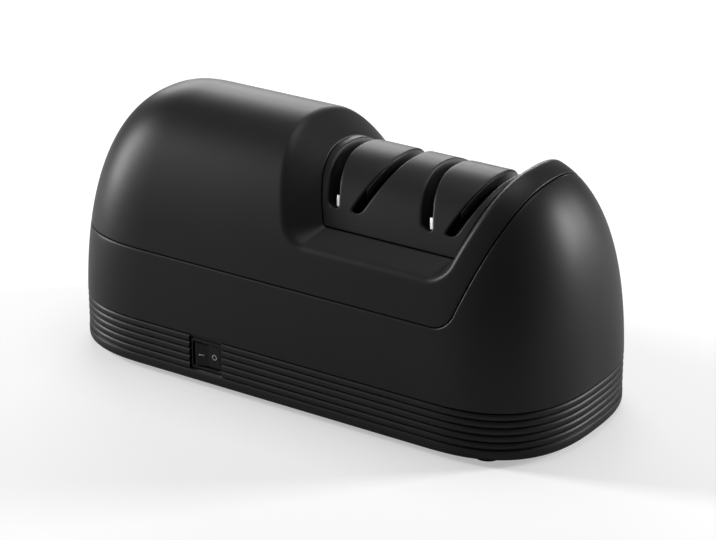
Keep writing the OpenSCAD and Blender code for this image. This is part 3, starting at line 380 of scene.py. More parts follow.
class Shell:
    """A closed moulding gathered from skin grids, turned edges and ruled walls, in millimetres.

    Its wall is the thickness of what skin and edge make."""

    def __init__(self, wall=0.0):
        self.wall = wall
        self.points, self.quads, self.count = [], [], 0
        self.extra = []

    def grid(self, pts, out, both=False, lead=None, keep=None):
        """One grid of quads whose faces look along out, judged on its first lead rows; keep masks it."""
        n, m = pts.shape[:2]
        out = np.broadcast_to(out, pts.shape)
        index = self.count + np.arange(n * m).reshape(n, m)
        quads = np.stack([index[:-1, :-1], index[1:, :-1], index[1:, 1:], index[:-1, 1:]], -1)
        face = np.cross(pts[1:, 1:] - pts[:-1, :-1], pts[:-1, 1:] - pts[1:, :-1])
        if np.sum((face * (out[1:, 1:] + out[:-1, :-1]))[:lead]) < 0:
            quads = quads[..., ::-1]
        self.points.append(pts.reshape(-1, 3))
        self.quads.append(quads.reshape(-1, 4) if keep is None else quads[keep])
        self.count += n * m
        if both:
            self.grid(pts * MIRROR, out * MIRROR, lead=lead)

    def skin(self, pts, normals):
        """A stretch of the moulding's outer face and the inner face behind it, at the front and the rear."""
        self.grid(pts, normals, both=True)
        self.grid(pts - normals * self.wall, -normals, both=True)

    def edge(self, loop, normals, inward, radius, walls=()):
        """Turns a closed edge over, follows the given walls, and comes back to the inner face."""
        loop, normals, inward = (np.concatenate([q, q[:1]]) for q in (loop, normals, inward))
        turn = np.linspace(0, RIGHT, EDGE_POINTS)[:, None, None]
        rows = loop - inward * radius * np.sin(turn) - normals * radius * (1 - np.cos(turn))
        walls = [np.concatenate([w, w[:1]]) for w in walls] or [rows[-1] - normals * (self.wall - radius)]
        rows = np.concatenate([rows, np.stack(walls), (loop - normals * self.wall)[None]])
        self.grid(rows, normals, lead=1)

    def turn(self, pivot, axes):
        """Turns the moulding about its pivot and moves it there."""
        self.points = [q @ axes + pivot for q in self.points]

    def build(self, name, material):
        """The finished moulding as an object."""
        pts = np.concatenate(self.points + self.extra) + np.array([0, 0, FOOT_Z])
        faces = np.concatenate(self.quads).tolist()
        first = self.count
        for face in self.extra:
            faces.append(list(range(first, first + len(face))))
            first += len(face)
        return mesh_object(name, pts * MM, faces, material)


def closed_loop(bottom, right, left):
    """Points round a hole or patch that spans the arch: its front row, then each side up to the crown."""
    return np.concatenate([bottom, right[1:], (right * MIRROR)[-2::-1], (bottom * MIRROR)[-2::-1],
                           (left * MIRROR)[1:], left[-2:0:-1]])


def across(loop, normals):
    """Unit vectors in the skin, to the left of a closed loop's way round as seen from outside."""
    along = np.roll(loop, -1, 0) - np.roll(loop, 1, 0)
    return unit(np.cross(normals, along))


def lerp(a, b, t):
    """A value a share of the way between two."""
    return a + (b - a) * t


def curved(start, corner, end, t):
    """Points on the curve that leaves start towards corner and comes to end from it."""
    return (1 - t) ** 2 * start + 2 * t * (1 - t) * corner + t ** 2 * end


def unit(v):
    """Vectors brought to length 1."""
    return v / np.maximum(np.linalg.norm(v, axis=-1, keepdims=True), NO_LENGTH)


def closed(rows):
    """Rows of points, each closed on its first point."""
    return np.concatenate([rows, rows[:, :1]], 1)


def mirrored_ring(half):
    """A closed outline from its front half, which begins and ends on the middle plane."""
    return np.concatenate([half, (half * MIRROR)[-2:0:-1]])


def crowded(n):
    """Shares from 0 to 1 in n steps, crowded at the start and even beyond the bend."""
    t = np.linspace(0, 1, n + 1)
    start = t ** CROWDING * BEND ** (1 - CROWDING) / CROWDING
    curve = np.where(t < BEND, start, t - BEND * (1 - 1 / CROWDING))
    return curve / curve[-1]


def thinned(n):
    """Shares from 1 to 0 in n steps, crowded at the end."""
    return (1 - np.linspace(0, 1, n + 1)) ** CROWDING


# ---- lower housing ----

# Columns to the left and right of the seam's corner, and rows of the band and of the end beyond it
LEFT_COLUMNS, RIGHT_COLUMNS, BAND_ROWS, CAP_ROWS = 150, 64, 17, 65


def band_points(dome, z, x0):
    """Front half of level rows z round the body, split into columns at x0 on the straight side."""
    reach = dome.x_of_crown(z)[:, None]
    left = lerp(-reach, x0, crowded(LEFT_COLUMNS))
    right = lerp(reach, x0, thinned(RIGHT_COLUMNS))
    return dome.at_height(np.concatenate([left, right[:, 1:]], 1), z[:, None])


def build_lower_housing(dome, base, material):
    """The band round the body under the seam, and the right end beyond it."""
    p = dome.p
    inset = p.gap / 2 + p.seam_edge
    cx = dome.seam_corner(inset)[0]
    band = band_points(dome, np.linspace(base.tray_h + p.gap + p.edge_r, p.seam_z - inset, BAND_ROWS), cx)
    v = np.linspace(0, 1, CAP_ROWS)
    cap_z = lerp(p.seam_z - inset, dome.seam_crown(inset), v ** 2 * (3 - 2 * v))
    edge_x = dome.seam_x(cap_z, inset)
    edge_x[0] = cx
    reach = np.maximum(dome.x_of_crown(cap_z), edge_x)
    cap = dome.at_height(lerp(reach[:, None], edge_x[:, None], thinned(RIGHT_COLUMNS)), cap_z[:, None])
    cap[0] = band[-1, LEFT_COLUMNS:]
    shell = Shell(p.wall)
    for part in (band, cap):
        shell.skin(part, dome.normal(part))
    top = np.concatenate([band[-1, :LEFT_COLUMNS + 1], cap[1:, 0]])
    for half, hand, radius in ((band[0], 1, p.edge_r), (top, -1, p.seam_edge)):
        ring = mirrored_ring(half)
        normals = dome.normal(ring)
        shell.edge(ring, normals, hand * across(ring, normals), radius)
    return shell.build("lower_housing_shell", material)


# ---- upper cover and its saddle ----

# Radius of the bed's front corners, where the guide's feet stand
BED_CORNER = 1.2
# Points round an opening's front corner, up its side and along its front
CORNER_TURN = np.linspace(0, RIGHT, 15)
SIDE_SHARES, FRONT_SHARES = np.linspace(0, 1, 44), np.linspace(0, 1, 61)
# Columns of the hump, rows below the saddle, columns of the band on the right, and tries at its seam
HUMP_COLUMNS, LOW_ROWS, BAND_COLUMNS, SEAM_TRIES = 150, 22, 14, 8


def rounded_side(r, top, grow, turn, sides):
    """Distances up the arch and outwards along an opening's side, moved out by grow: a corner of radius r
    at its front, then straight on up to top."""
    up = np.concatenate([r - (r + grow) * np.cos(turn), lerp(r, top, sides[1:])])
    out = np.concatenate([(r + grow) * np.sin(turn) - r, np.full(len(sides) - 1, float(grow))])
    return up, out


def opening_side(dome, bed, side, grow):
    """X and arch angle along one side of the saddle's edge (bed 0) or of the guide's bed (bed 1)."""
    r, top, end = ((dome.p.saddle_r, dome.saddle_arc, dome.saddle_end),
                   (BED_CORNER, dome.guide_arc, dome.guide_end))[bed]
    up, out = rounded_side(r, top, grow, CORNER_TURN, SIDE_SHARES)
    a = dome.arch_angle(up, bed)
    return end(side, dome.arch_height(a, bed)) + side * out, a


def opening_loop(dome, bed):
    """The saddle's outer edge on the skin, or the edge of the guide's bed below it."""
    g = (0.0, dome.p.guide_depth)[bed]
    (left_x, a), (right_x, _) = (opening_side(dome, bed, side, 0.0) for side in (-1, 1))
    front = dome.skin(lerp(left_x[0], right_x[0], FRONT_SHARES), np.full(len(FRONT_SHARES), a[0]), g)
    return closed_loop(front, dome.skin(right_x, a, g), dome.skin(left_x, a, g))


def build_upper_cover(dome, material):
    """The left hump, the saddle's walls and the narrow band on the right, up to the seam."""
    p = dome.p
    inset = p.gap / 2 + p.edge_r
    low = p.seam_z + inset
    sides = [opening_side(dome, 0, side, p.saddle_roll) for side in (-1, 1)]
    start_a = dome.arch_angle(np.array([-p.saddle_roll]), 0)[0]
    low_a = dome.angle(low, 0.0)
    rows_a = np.concatenate([lerp(low_a, start_a, np.linspace(0, 1, LOW_ROWS + 1) ** 2)[:-1], sides[0][1]])
    edge_l, edge_r = (np.concatenate([np.full(LOW_ROWS, x[0]), x])[:, None] for x, _ in sides)
    share = ((rows_a - low_a) / (RIGHT - low_a))[:, None]
    hump = dome.arch_rows(lerp(-dome.x_of_crown(low), edge_l, crowded(HUMP_COLUMNS)), low, share)
    # front strip under the saddle
    front = slice(0, LOW_ROWS + 1)
    strip = dome.arch_rows(lerp(edge_l[front], edge_r[front], FRONT_SHARES), low, share[front])
    # right band, between the saddle and the seam; a row's height on the seam is found by trying again
    seam = edge_r
    for _ in range(SEAM_TRIES):
        seam = dome.seam_x(dome.arch_rows(seam, low, share)[..., 2], -inset)
    seam[0] = dome.seam_corner(-inset)[0]
    band = dome.arch_rows(lerp(edge_r, seam, np.linspace(0, 1, BAND_COLUMNS + 1)), low, share)
    shell = Shell(p.wall)
    for part in (hump, strip, band):
        shell.skin(part, dome.normal(part))
    ring = mirrored_ring(np.concatenate([hump[0], strip[0, 1:], band[0, 1:], band[1:, -1]]))
    normals = dome.normal(ring)
    shell.edge(ring, normals, across(ring, normals), p.edge_r)
    # the saddle's walls, from the rounded edge down to the guide
    hole = closed_loop(strip[LOW_ROWS], band[LOW_ROWS:, 0], hump[LOW_ROWS:, -1])
    add_funnel(dome, shell, hole, opening_loop(dome, 0), opening_loop(dome, 1))
    return shell.build("upper_cover_shell", material)


# The curve from the skin into the saddle's wall ends this many rolls down it, or this share of the way
LEAD_ROLLS, LEAD_SHARE = 1.3, 0.4
# Rounding at the wall's foot in mm, at most this share of the wall, and the skirt that goes down past it
TOE, TOE_SHARE, SKIRT = 0.6, 0.2, 2.2
# Rows of the curve into the wall, of the wall and of the curve at its foot
FUNNEL_ROWS = (9, 7, 5)


def add_funnel(dome, shell, hole, corner, foot):
    """The walls from the saddle's rounded edge down to its bed, and the thin edge they end in."""
    p = dome.p
    g = p.guide_depth
    n_skin, n_bed = dome.normal(hole), dome.normal(foot, g)
    length = np.linalg.norm(foot - corner, axis=-1, keepdims=True)
    drop = unit(foot - corner)
    lead = corner + drop * np.minimum(p.saddle_roll * LEAD_ROLLS, length * LEAD_SHARE)
    toe = foot - drop * np.minimum(TOE, length * TOE_SHARE)
    tip = foot - n_bed * TOE
    fillet, wall, heel = (np.linspace(0, 1, n)[:, None, None] for n in FUNNEL_ROWS)
    pts = closed(np.concatenate([curved(hole, corner, lead, fillet), lerp(lead, toe, wall[1:]),
                                 curved(toe, foot, tip, heel[1:]), (tip - n_bed * SKIRT)[None]]))
    hint = np.concatenate([n_skin, n_skin[:1]])
    normals = ring_normals(pts, hint)
    normals[0] = hint
    back = pts - normals * shell.wall
    shell.grid(pts, normals)
    shell.grid(back, -normals)
    shell.grid(np.stack([pts[-1], back[-1]]), -np.concatenate([n_bed, n_bed[:1]]))


def ring_normals(pts, hint):
    """Normals of a grid whose columns close on themselves."""
    along = np.empty_like(pts)
    along[:, 1:-1] = pts[:, 2:] - pts[:, :-2]
    along[:, 0] = along[:, -1] = pts[:, 1] - pts[:, -2]
    n = unit(np.cross(np.gradient(pts, axis=0), along))
    return n if np.sum(n[0] * hint) > 0 else -n


# ---- guide cover ----

# Half of the flat between a slot's rounded front corners
SLOT_FLAT = 0.5
# Points round a slot's front corner and up its side
SLOT_TURN, SLOT_SHARES = np.linspace(0, RIGHT, 11), np.linspace(0, 1, 40)
# Rows of the guide in front of its slots, and columns of a slot, of a strip beside it and of the middle strip
GUIDE_ROWS, SLOT_COLUMNS, STRIP_COLUMNS, MIDDLE_COLUMNS = 11, 5, 14, 26


def slot_edge(dome, stage, side, hand):
    """One long edge of a slot, from its rounded front end up to the crown."""
    p = dome.p
    top = dome.guide_arc - dome.slot_start
    up, out = rounded_side(p.slot_w / 2 - SLOT_FLAT, top, p.slot_roll, SLOT_TURN, SLOT_SHARES)
    a = dome.arch_angle(up + dome.slot_start, 1)
    return dome.slot_x(stage, side, dome.arch_height(a, 1)) + hand * (p.slot_w / 2 + out), a


def build_guide_cover(dome, material):
    """The arched cover in the saddle with its four slots."""
    p = dome.p
    g, r = p.guide_depth, p.edge_r
    grow = p.slot_roll
    slots = [(0, -1), (0, 1), (1, -1), (1, 1)]
    edges = [slot_edge(dome, stage, side, hand) for stage, side in slots for hand in (-1, 1)]
    slot_a = edges[0][1]
    gap = p.guide_gap + r
    foot_a = dome.arch_angle(np.array([gap]), 1)[0]
    rows_a = np.concatenate([np.linspace(foot_a, slot_a[0], GUIDE_ROWS + 1)[:-1], slot_a])
    z = dome.arch_height(rows_a, 1)
    bounds = [dome.guide_end(-1, z) + gap]
    bounds += [np.concatenate([np.full(GUIDE_ROWS, x[0]), x]) for x, _ in edges]
    bounds.append(dome.guide_end(1, z) - gap)
    shell = Shell(p.wall)
    # strips of the guide and, between them, what lies in front of each slot
    strip, slot = (slice(None), STRIP_COLUMNS), (slice(0, GUIDE_ROWS + 1), SLOT_COLUMNS)
    middle = (slice(None), MIDDLE_COLUMNS)
    parts = []
    for i, (rows, n) in enumerate((strip, slot, strip, slot, middle, slot, strip, slot, strip)):
        x = lerp(bounds[i][rows, None], bounds[i + 1][rows, None], np.linspace(0, 1, n + 1))
        parts.append(dome.skin(x, rows_a[rows, None], g))
    for part in parts:
        shell.skin(part, dome.normal(part, g))
    front = np.concatenate([parts[0][0]] + [q[0, 1:] for q in parts[1:]])
    ring = closed_loop(front, parts[-1][:, -1], parts[0][:, 0])
    normals = dome.normal(ring, g)
    shell.edge(ring, normals, across(ring, normals), r)
    for i, (stage, side) in enumerate(slots):
        patch = parts[2 * i + 1]
        ring = closed_loop(patch[-1], parts[2 * i + 2][GUIDE_ROWS:, 0], parts[2 * i][GUIDE_ROWS:, -1])
        normals = dome.normal(ring, g)
        inward = -across(ring, normals)
        drop = -normals
        drop[:, 0] = side * math.tan(p.grind_angle) * drop[:, 2]
        deep = ring - inward * grow - normals * grow + unit(drop) * p.slot_depth
        shell.edge(ring, normals, inward, grow, (deep, deep + inward * grow))
    return shell.build("guide_cover_shell", material)


# How much further down a tongue's free end lies, and how far its root goes into the slot's wall
TONGUE_DROP, TONGUE_ROOT = 0.2, 0.05
# Columns across a tongue and rows along it
TONGUE_COLUMNS, TONGUE_ROWS = 13, 15


def build_spring_tongues(dome, material):
    """The turned-out ends of the spring strips that show in the first slot of each stage."""
    p = dome.p
    shell = Shell(p.tongue_t)
    t = np.linspace(0, 1, TONGUE_COLUMNS)
    reach = p.tongue_w * t
    depth = p.tongue_deep + TONGUE_DROP * t ** 2
    along = p.tongue_from_end + p.tongue_l * np.linspace(0, 1, TONGUE_ROWS)
    a = dome.arch_angle(dome.slot_start + along, 1)
    lean = math.tan(p.grind_angle)
    for stage in (0, 1):
        wall_x = dome.slot_x(stage, -1, dome.arch_height(a, 1)) + p.slot_w / 2 - TONGUE_ROOT
        x = wall_x[:, None] + lean * depth[0] - reach
        pts = dome.skin(x, a[:, None], p.guide_depth + depth)
        normals = dome.normal(pts, p.guide_depth)
        shell.skin(pts, normals)
        under = pts - normals * p.tongue_t
        middle = pts.mean((0, 1))
        for row in (0, -1):
            for top, low in ((pts[row], under[row]), (pts[:, row], under[:, row])):
                rim = np.stack([top, low])
                shell.grid(rim, rim - middle, both=True)
    return shell.build("spring_tongues", material)


# ---- node trees ----

def join(tree, source, socket):
    """Links a socket, or a node's first output, to an input."""
    tree.links.new(source.outputs[0] if isinstance(source, bpy.types.Node) else source, socket)


def add_node(tree, kind, values=None, **settings):
    """A node with its settings; each input is given a value, or what to link to it."""
    made = tree.nodes.new(kind)
    for name, setting in settings.items():
        setattr(made, name, setting)
    for name, value in (values or {}).items():
        if isinstance(value, (bpy.types.Node, bpy.types.NodeSocket)):
            join(tree, value, made.inputs[name])
        else:
            made.inputs[name].default_value = value
    return made


def calculate(tree, operation, first, second):
    """A sum, product or other operation on two values."""
    return add_node(tree, "ShaderNodeMath", {0: first, 1: second}, operation=operation)


def new_tree(name, inputs):
    """A geometry tree with a geometry, the named inputs and a finish; returns it and its inputs' sockets."""
    tree = bpy.data.node_groups.new(name, "GeometryNodeTree")
    for way in ("INPUT", "OUTPUT"):
        tree.interface.new_socket("Geometry", in_out=way, socket_type="NodeSocketGeometry")
    for label, kind in {**inputs, "Finish": "Material"}.items():
        tree.interface.new_socket(label, in_out="INPUT", socket_type="NodeSocket" + kind)
    return tree, add_node(tree, "NodeGroupInput").outputs


def end_tree(tree, given, copies):
    """Makes the copies real, gives them their finish and ends the tree in them."""
    whole = add_node(tree, "GeometryNodeRealizeInstances", {"Geometry": copies})
    paint = add_node(tree, "GeometryNodeSetMaterial", {"Geometry": whole, "Material": given["Finish"]})
    add_node(tree, "NodeGroupOutput", {"Geometry": paint})
    return tree


def socket_id(tree, name):
    """Identifier of a tree's input, by its name."""
    for item in tree.interface.items_tree:
        if item.item_type == "SOCKET" and item.in_out == "INPUT" and item.name == name:
            return item.identifier
    raise RuntimeError(f"the tree {tree.name} has no input called {name}")


def from_tree(name, source, tree, values):
    """Runs a geometry tree on a mesh and keeps the result as a plain piece."""
    carrier = link_object(name + "_lines", source)
    modifier = carrier.modifiers.new(tree.name, "NODES")
    modifier.node_group = tree
    for label, value in values.items():
        modifier[socket_id(tree, label)] = value
    bpy.context.view_layer.update()
    evaluated = carrier.evaluated_get(bpy.context.evaluated_depsgraph_get())
    mesh = bpy.data.meshes.new_from_object(evaluated)
    mesh.name = name
    carrier.modifiers.remove(modifier)
    bpy.data.objects.remove(carrier)
    return link_object(name, mesh)


# ---- base ----

# Play round the switch in its opening, the cord's hole as a share of the gland, and play round the gland
SWITCH_PLAY, CORD_SHARE, GLAND_PLAY = 0.15, 0.6, 0.3
# Steps of a quarter of the outline's rounded ends, and columns along a straight side
END_STEPS, STRAIGHT_COLUMNS = 48, 26
# Under the lowest rib: insets of the wall and how far below the rib, with None for the depth between ribs
UNDER_RIBS = ((0, 0.45), (0.2, 0.15), (None, 0.1))
# Softening of the wall's top edge, and height of the base's floor
TOP_EDGE, FLOOR_Z = 0.25, 3.0
# Depth of a screw's recess, and the points round its rim
RECESS, RIM_POINTS = 2.3, 32
# Half of a rib's thickness as a share of the pitch, how far it stays behind the skin, and its points round
RIB_FILL, RIB_BACK, RIB_POINTS = 0.485, 0.02, 24


def wall_cuts(base):
    """Where the wall behind the ribs stops: side, range along X, and range of heights."""
    half_w, half_h = base.bezel_w / 2 + SWITCH_PLAY, base.bezel_h / 2 + SWITCH_PLAY
    hole = base.gland_r * CORD_SHARE
    places = ((-1, base.switch_x, base.switch_z, half_w, half_h),
              (1, base.gland_x, base.gland_z, hole, hole))
    return [(side, (x - w, x + w), (z - h, z + h)) for side, x, z, w, h in places]


def gland_span(base):
    """Range along X that the cord gland takes up."""
    half = base.gland_r + GLAND_PLAY
    return base.gland_x - half, base.gland_x + half


def plan_loop(shape, base, g):
    """Outline of the base inset by g, from the right end round the rear, the left end and the front."""
    x0 = shape.body_l / 2 - shape.end_reach
    a = np.linspace(-RIGHT, RIGHT, 2 * END_STEPS + 1)
    power = 2 / shape.plan_power
    x = x0 + (shape.end_reach - g) * np.cos(a) ** power
    y = (shape.body_w / 2 - g) * np.sign(np.sin(a)) * np.abs(np.sin(a)) ** power
    right = np.stack([x, y], -1)
    ends = [x for _, span, _ in wall_cuts(base) for x in span]
    ends += gland_span(base)
    even = np.linspace(-x0, x0, STRAIGHT_COLUMNS)[1:-1]
    columns = np.unique(np.concatenate([even, ends, np.negative(ends)]))[::-1]
    rear = np.column_stack([columns, np.full(len(columns), shape.body_w / 2 - g)])
    return np.concatenate([right, rear, -right, -rear])


def tray_levels(shape, base):
    """Profile of the base's wall, as (inset, height), from the underside up and back down inside."""
    turn = np.linspace(0, RIGHT, EDGE_POINTS)
    lip = [(base.lip_r * (1 - math.sin(t)), base.lip_r * (1 - math.cos(t))) for t in turn]
    rib_z = rib_start(base)
    top, deep = base.tray_h, base.rib_depth + shape.wall
    heights = sorted(z for _, _, span in wall_cuts(base) for z in span)
    under = [(base.rib_depth if inset is None else inset, rib_z - drop) for inset, drop in UNDER_RIBS]
    outside = [(base.rib_depth, z) for z in heights + [top - TOP_EDGE]]
    return lip + under + outside + [(base.rib_depth + TOP_EDGE, top)] + [
        (deep, z) for z in [top] + heights[::-1] + [FLOOR_Z]]


def rib_start(base):
    """Height of the lowest rib's lower edge."""
    return base.tray_h - base.land - base.rib_count * base.rib_pitch


# A triangle whose middle is nearer to a hole's middle than this share of the radius lies in the hole
IN_HOLE = 0.97


def fill_plate(outline, holes, z, up, shell):
    """A flat face inside an outline, with round holes as (x, y, radius); returns the holes' rims."""
    turn = np.linspace(0, 2 * math.pi, RIM_POINTS + 1)[:-1]
    rims = [np.array([hx, hy]) + r * np.stack([np.cos(turn), np.sin(turn)], -1) for hx, hy, r in holes]
    loops = [outline] + rims
    pts = [Vector(q) for loop in loops for q in loop]
    faces, first = [], 0
    for loop in loops:
        faces.append(list(range(first, first + len(loop))))
        first += len(loop)
    out, _, tris, *_ = delaunay_2d_cdt(pts, [], faces, 0, PLATE_DOUBLE)
    out = np.array([tuple(q) for q in out])
    flat = np.column_stack([out, np.full(len(out), z)])
    for tri in tris:
        face = flat[list(tri)]
        cx, cy = face[:, :2].mean(0)
        if inside(outline, cx, cy) and all(math.hypot(cx - hx, cy - hy) > IN_HOLE * r for hx, hy, r in holes):
            a, b, c = face
            shell.extra.append(face if (np.cross(b - a, c - a)[2] > 0) == up else face[::-1])
    return [np.column_stack([rim, np.full(len(rim), z)]) for rim in rims]


def inside(loop, x, y):
    """Whether a point lies inside a closed outline."""
    a, b = loop, np.roll(loop, -1, 0)
    cross = (a[:, 1] > y) != (b[:, 1] > y)
    with np.errstate(divide="ignore", invalid="ignore"):
        at = a[:, 0] + (y - a[:, 1]) * (b[:, 0] - a[:, 0]) / (b[:, 1] - a[:, 1])
    return bool(np.sum(cross & (x < at)) % 2)


# Screws from below: those that hold the upper cover, then those that hold the lower housing
SCREWS = ((-70, 37), (-70, -37), (34, 37), (34, -37), (-95, 17), (-95, -17), (95, 17), (95, -17))
# Rows of the tray's wall that make up its lip
LIP_ROWS = 7
# A face is level from this share of its normal that points up or down
LEVEL = 0.9999
# The wall faces away from a point that follows it along X by this share
ALONG = np.array([0.6, 0, 0])


def build_base(shape, base, material):
    """The tray: its lip, the wall behind the ribs, its underside with screw recesses, and its floor."""
    shell = Shell(shape.wall)
    levels = tray_levels(shape, base)
    rows = [(plan_loop(shape, base, g), z) for g, z in levels]
    pts = closed(np.stack([np.column_stack([loop, np.full(len(loop), z)]) for loop, z in rows]))
    middle = (pts[1:, 1:] + pts[:-1, :-1]) / 2
    keep = np.ones(middle.shape[:2], bool)
    for side, (x0, x1), (z0, z1) in wall_cuts(base):
        gone = ((middle[..., 1] * side > shape.body_w / 2 - shape.wall * 2) & (middle[..., 0] > x0)
                & (middle[..., 0] < x1) & (middle[..., 2] > z0) & (middle[..., 2] < z1)
                & (np.arange(len(middle)) >= LIP_ROWS)[:, None])
        keep &= ~gone
        add_tunnel(shell, pts, gone)
    shell.grid(pts, pts - pts * ALONG, lead=LIP_ROWS, keep=keep)
    holes = [(x, y, base.screw_r) for x, y in SCREWS]
    rims = fill_plate(plan_loop(shape, base, levels[0][0]), holes, 0.0, False, shell)
    fill_plate(plan_loop(shape, base, levels[-1][0]), [], levels[-1][1], True, shell)
    for (x, y, _), rim in zip(holes, rims):
        rim = np.concatenate([rim, rim[:1]])
        roof = rim + np.array([0, 0, RECESS])
        middle = np.broadcast_to(np.array([x, y, RECESS]), rim.shape)
        shell.grid(np.stack([rim, roof]), np.array([x, y, 0]) - rim)
        shell.grid(np.stack([roof, middle]), np.array([0, 0, -1.0]))
    obj = shell.build("base_tray_shell", material)
    # the flat plate is shaded flat, or its rounded edge would bend the light on it
    for face in obj.data.polygons:
        face.use_smooth = abs(face.normal.z) < LEVEL
    return obj


def add_tunnel(shell, pts, gone):
    """Walls between the two rims of an opening whose quads are left out of the wall's two faces."""
    columns = np.flatnonzero(gone.any(0))
    left, right = columns[0], columns[-1] + 1
    rows = np.flatnonzero(gone.any(1))
    split = int(np.flatnonzero(np.diff(rows) > 1)[0])
    outer = np.arange(rows[0], rows[split] + 2)
    inner = np.arange(rows[split + 1], rows[-1] + 2)[::-1]

    def rim(ring):
        """Points round the opening on one of the two faces."""
        low, high = pts[ring[0], left:right + 1], pts[ring[-1], left:right + 1]
        return np.concatenate([low, pts[ring[1:-1], right], high[::-1], pts[ring[::-1][1:-1], left], low[:1]])

    wall = np.stack([rim(outer), rim(inner)])
    shell.grid(wall, wall.mean((0, 1)) - wall)


def rib_path(shape, base):
    """The line round the base that the ribs follow, and its edges outside the switch and the cord gland."""
    loop = plan_loop(shape, base, base.rib_depth)
    after = np.roll(np.arange(len(loop)), -1)
    middle = (loop + loop[after]) / 2
    front, switch, _ = wall_cuts(base)[0]
    kept = np.ones(len(loop), bool)
    for side, (x0, x1) in ((front, switch), (-front, gland_span(base))):
        kept &= ~((np.abs(loop[:, 1] - loop[after][:, 1]) < TINY) & (middle[:, 1] * side > 0)
                  & (middle[:, 0] > x0) & (middle[:, 0] < x1))
    return loop, [(int(i), int(after[i])) for i in np.flatnonzero(kept)]


def rib_tree():
    """Copies of a rounded rib, one above the other, along the lines of a mesh."""
    tree, given = new_tree("stacked_ribs", {"Ribs": "Int", "Pitch": "Float",
                                            "Depth": "Float", "First": "Float"})
    path = add_node(tree, "GeometryNodeMeshToCurve", {"Mesh": given["Geometry"]})
    upright = add_node(tree, "GeometryNodeSetCurveNormal", {"Curve": path}, mode="Z_UP")
    ring = add_node(tree, "GeometryNodeCurvePrimitiveCircle", {"Resolution": RIB_POINTS, "Radius": 1.0})
    half = calculate(tree, "MULTIPLY", given["Pitch"], RIB_FILL)
    radii = add_node(tree, "ShaderNodeCombineXYZ", {"X": given["Depth"], "Y": half, "Z": 1.0})
    profile = add_node(tree, "GeometryNodeTransform", {"Geometry": ring, "Scale": radii})
    rib = add_node(tree, "GeometryNodeCurveToMesh",
                   {"Curve": upright, "Profile Curve": profile, "Fill Caps": True})
    start, step = (add_node(tree, "ShaderNodeCombineXYZ", {"Z": given[name]}) for name in ("First", "Pitch"))
    stack = add_node(tree, "GeometryNodeMeshLine",
                     {"Count": given["Ribs"], "Start Location": start, "Offset": step})
    copies = add_node(tree, "GeometryNodeInstanceOnPoints", {"Points": stack, "Instance": rib})
    return end_tree(tree, given, add_node(tree, "GeometryNodeSetShadeSmooth", {"Geometry": copies}))


def build_ribs(shape, base, material):
    """The ribs round the base."""
    loop, edges = rib_path(shape, base)
    source = bpy.data.meshes.new("rib_lines")
    source.from_pydata([(x * MM, y * MM, FOOT_Z * MM) for x, y in loop], edges, [])
    values = {"Ribs": base.rib_count, "Pitch": base.rib_pitch * MM, "Depth": (base.rib_depth - RIB_BACK) * MM,
              "First": (rib_start(base) + base.rib_pitch / 2) * MM, "Finish": material}
    return from_tree("base_ribs", source, rib_tree(), values)


# ---- switch ----

# Steps of a rounded corner, radius of the bezel's corners and of its opening's, and play round the case
CORNER_STEPS, BEZEL_CORNER, HOLLOW_CORNER, CASE_PLAY = 6, 0.8, 0.6, 1.0
# How deep the frame and the case behind it reach below the frame's face
FLANGE, CASE = 1.6, 16.0
# Rounding of the frame's outer and inner edge, and the points round each, which the bezel's rows count on
OUTER_EDGE, INNER_EDGE, FRAME_POINTS = 0.5, 0.3, 5
# Share to which an outline shrinks where it closes
CLOSED = 0.01
# How far the rocker's ridge stays below the frame's face
RIDGE_LOW = 0.6


def box_loop(w, h, r):
    """A rectangle with rounded corners, in its own plane."""
    turn = np.linspace(0, RIGHT, CORNER_STEPS + 1)
    pts = []
    for i, (sx, sy) in enumerate(((1, 1), (-1, 1), (-1, -1), (1, -1))):
        a = turn + i * RIGHT
        pts.append(np.stack([sx * (w / 2 - r) + r * np.cos(a), sy * (h / 2 - r) + r * np.sin(a)], -1))
    return np.concatenate(pts)


def build_bezel(shape, base, material):
    """The switch's body: a rounded frame, a cavity behind the rocker, and the case inside the base."""
    w, h, face = base.bezel_w, base.bezel_h, base.bezel_in
    turn = [1 - math.sin(t) for t in np.linspace(0, RIGHT, FRAME_POINTS)]
    case = box_loop(w - 2 * CASE_PLAY, h - 2 * CASE_PLAY, BEZEL_CORNER)
    levels = [(case * CLOSED, face + CASE), (case, face + CASE), (case, face + FLANGE),
              (box_loop(w, h, BEZEL_CORNER), face + FLANGE)]
    for high, low in zip(turn, turn[::-1]):
        inset = 2 * OUTER_EDGE * low
        levels.append((box_loop(w - inset, h - inset, BEZEL_CORNER), face + OUTER_EDGE * high))
    w, h = base.cavity_w, base.cavity_h
    for high, low in zip(turn, turn[::-1]):
        outset = 2 * INNER_EDGE * high
        levels.append((box_loop(w + outset, h + outset, HOLLOW_CORNER), face + INNER_EDGE * low))
    hollow = box_loop(w, h, HOLLOW_CORNER)
    levels += [(hollow, face + base.cavity_d), (hollow * CLOSED, face + base.cavity_d)]
    middle = np.array([base.switch_x, 0, base.switch_z])
    rows = closed(np.stack([np.column_stack([loop[:, 0], np.full(len(loop), y), loop[:, 1]])
                            for loop, y in levels]))
    pts = rows + middle - np.array([0, shape.body_w / 2, 0])
    shell = Shell()
    away = (pts - middle) * np.array([1.0, 0, 1.0])
    for first, last, out in ((0, 2, REAR), (1, 3, away), (2, 4, REAR), (3, 5, away), (4, 10, FRONT),
                             (9, 14, FRONT), (13, 15, -away), (14, 16, FRONT)):
        shell.grid(pts[first:last], out if out.ndim == 1 else out[first:last])
    return shell.build("switch_bezel", material)


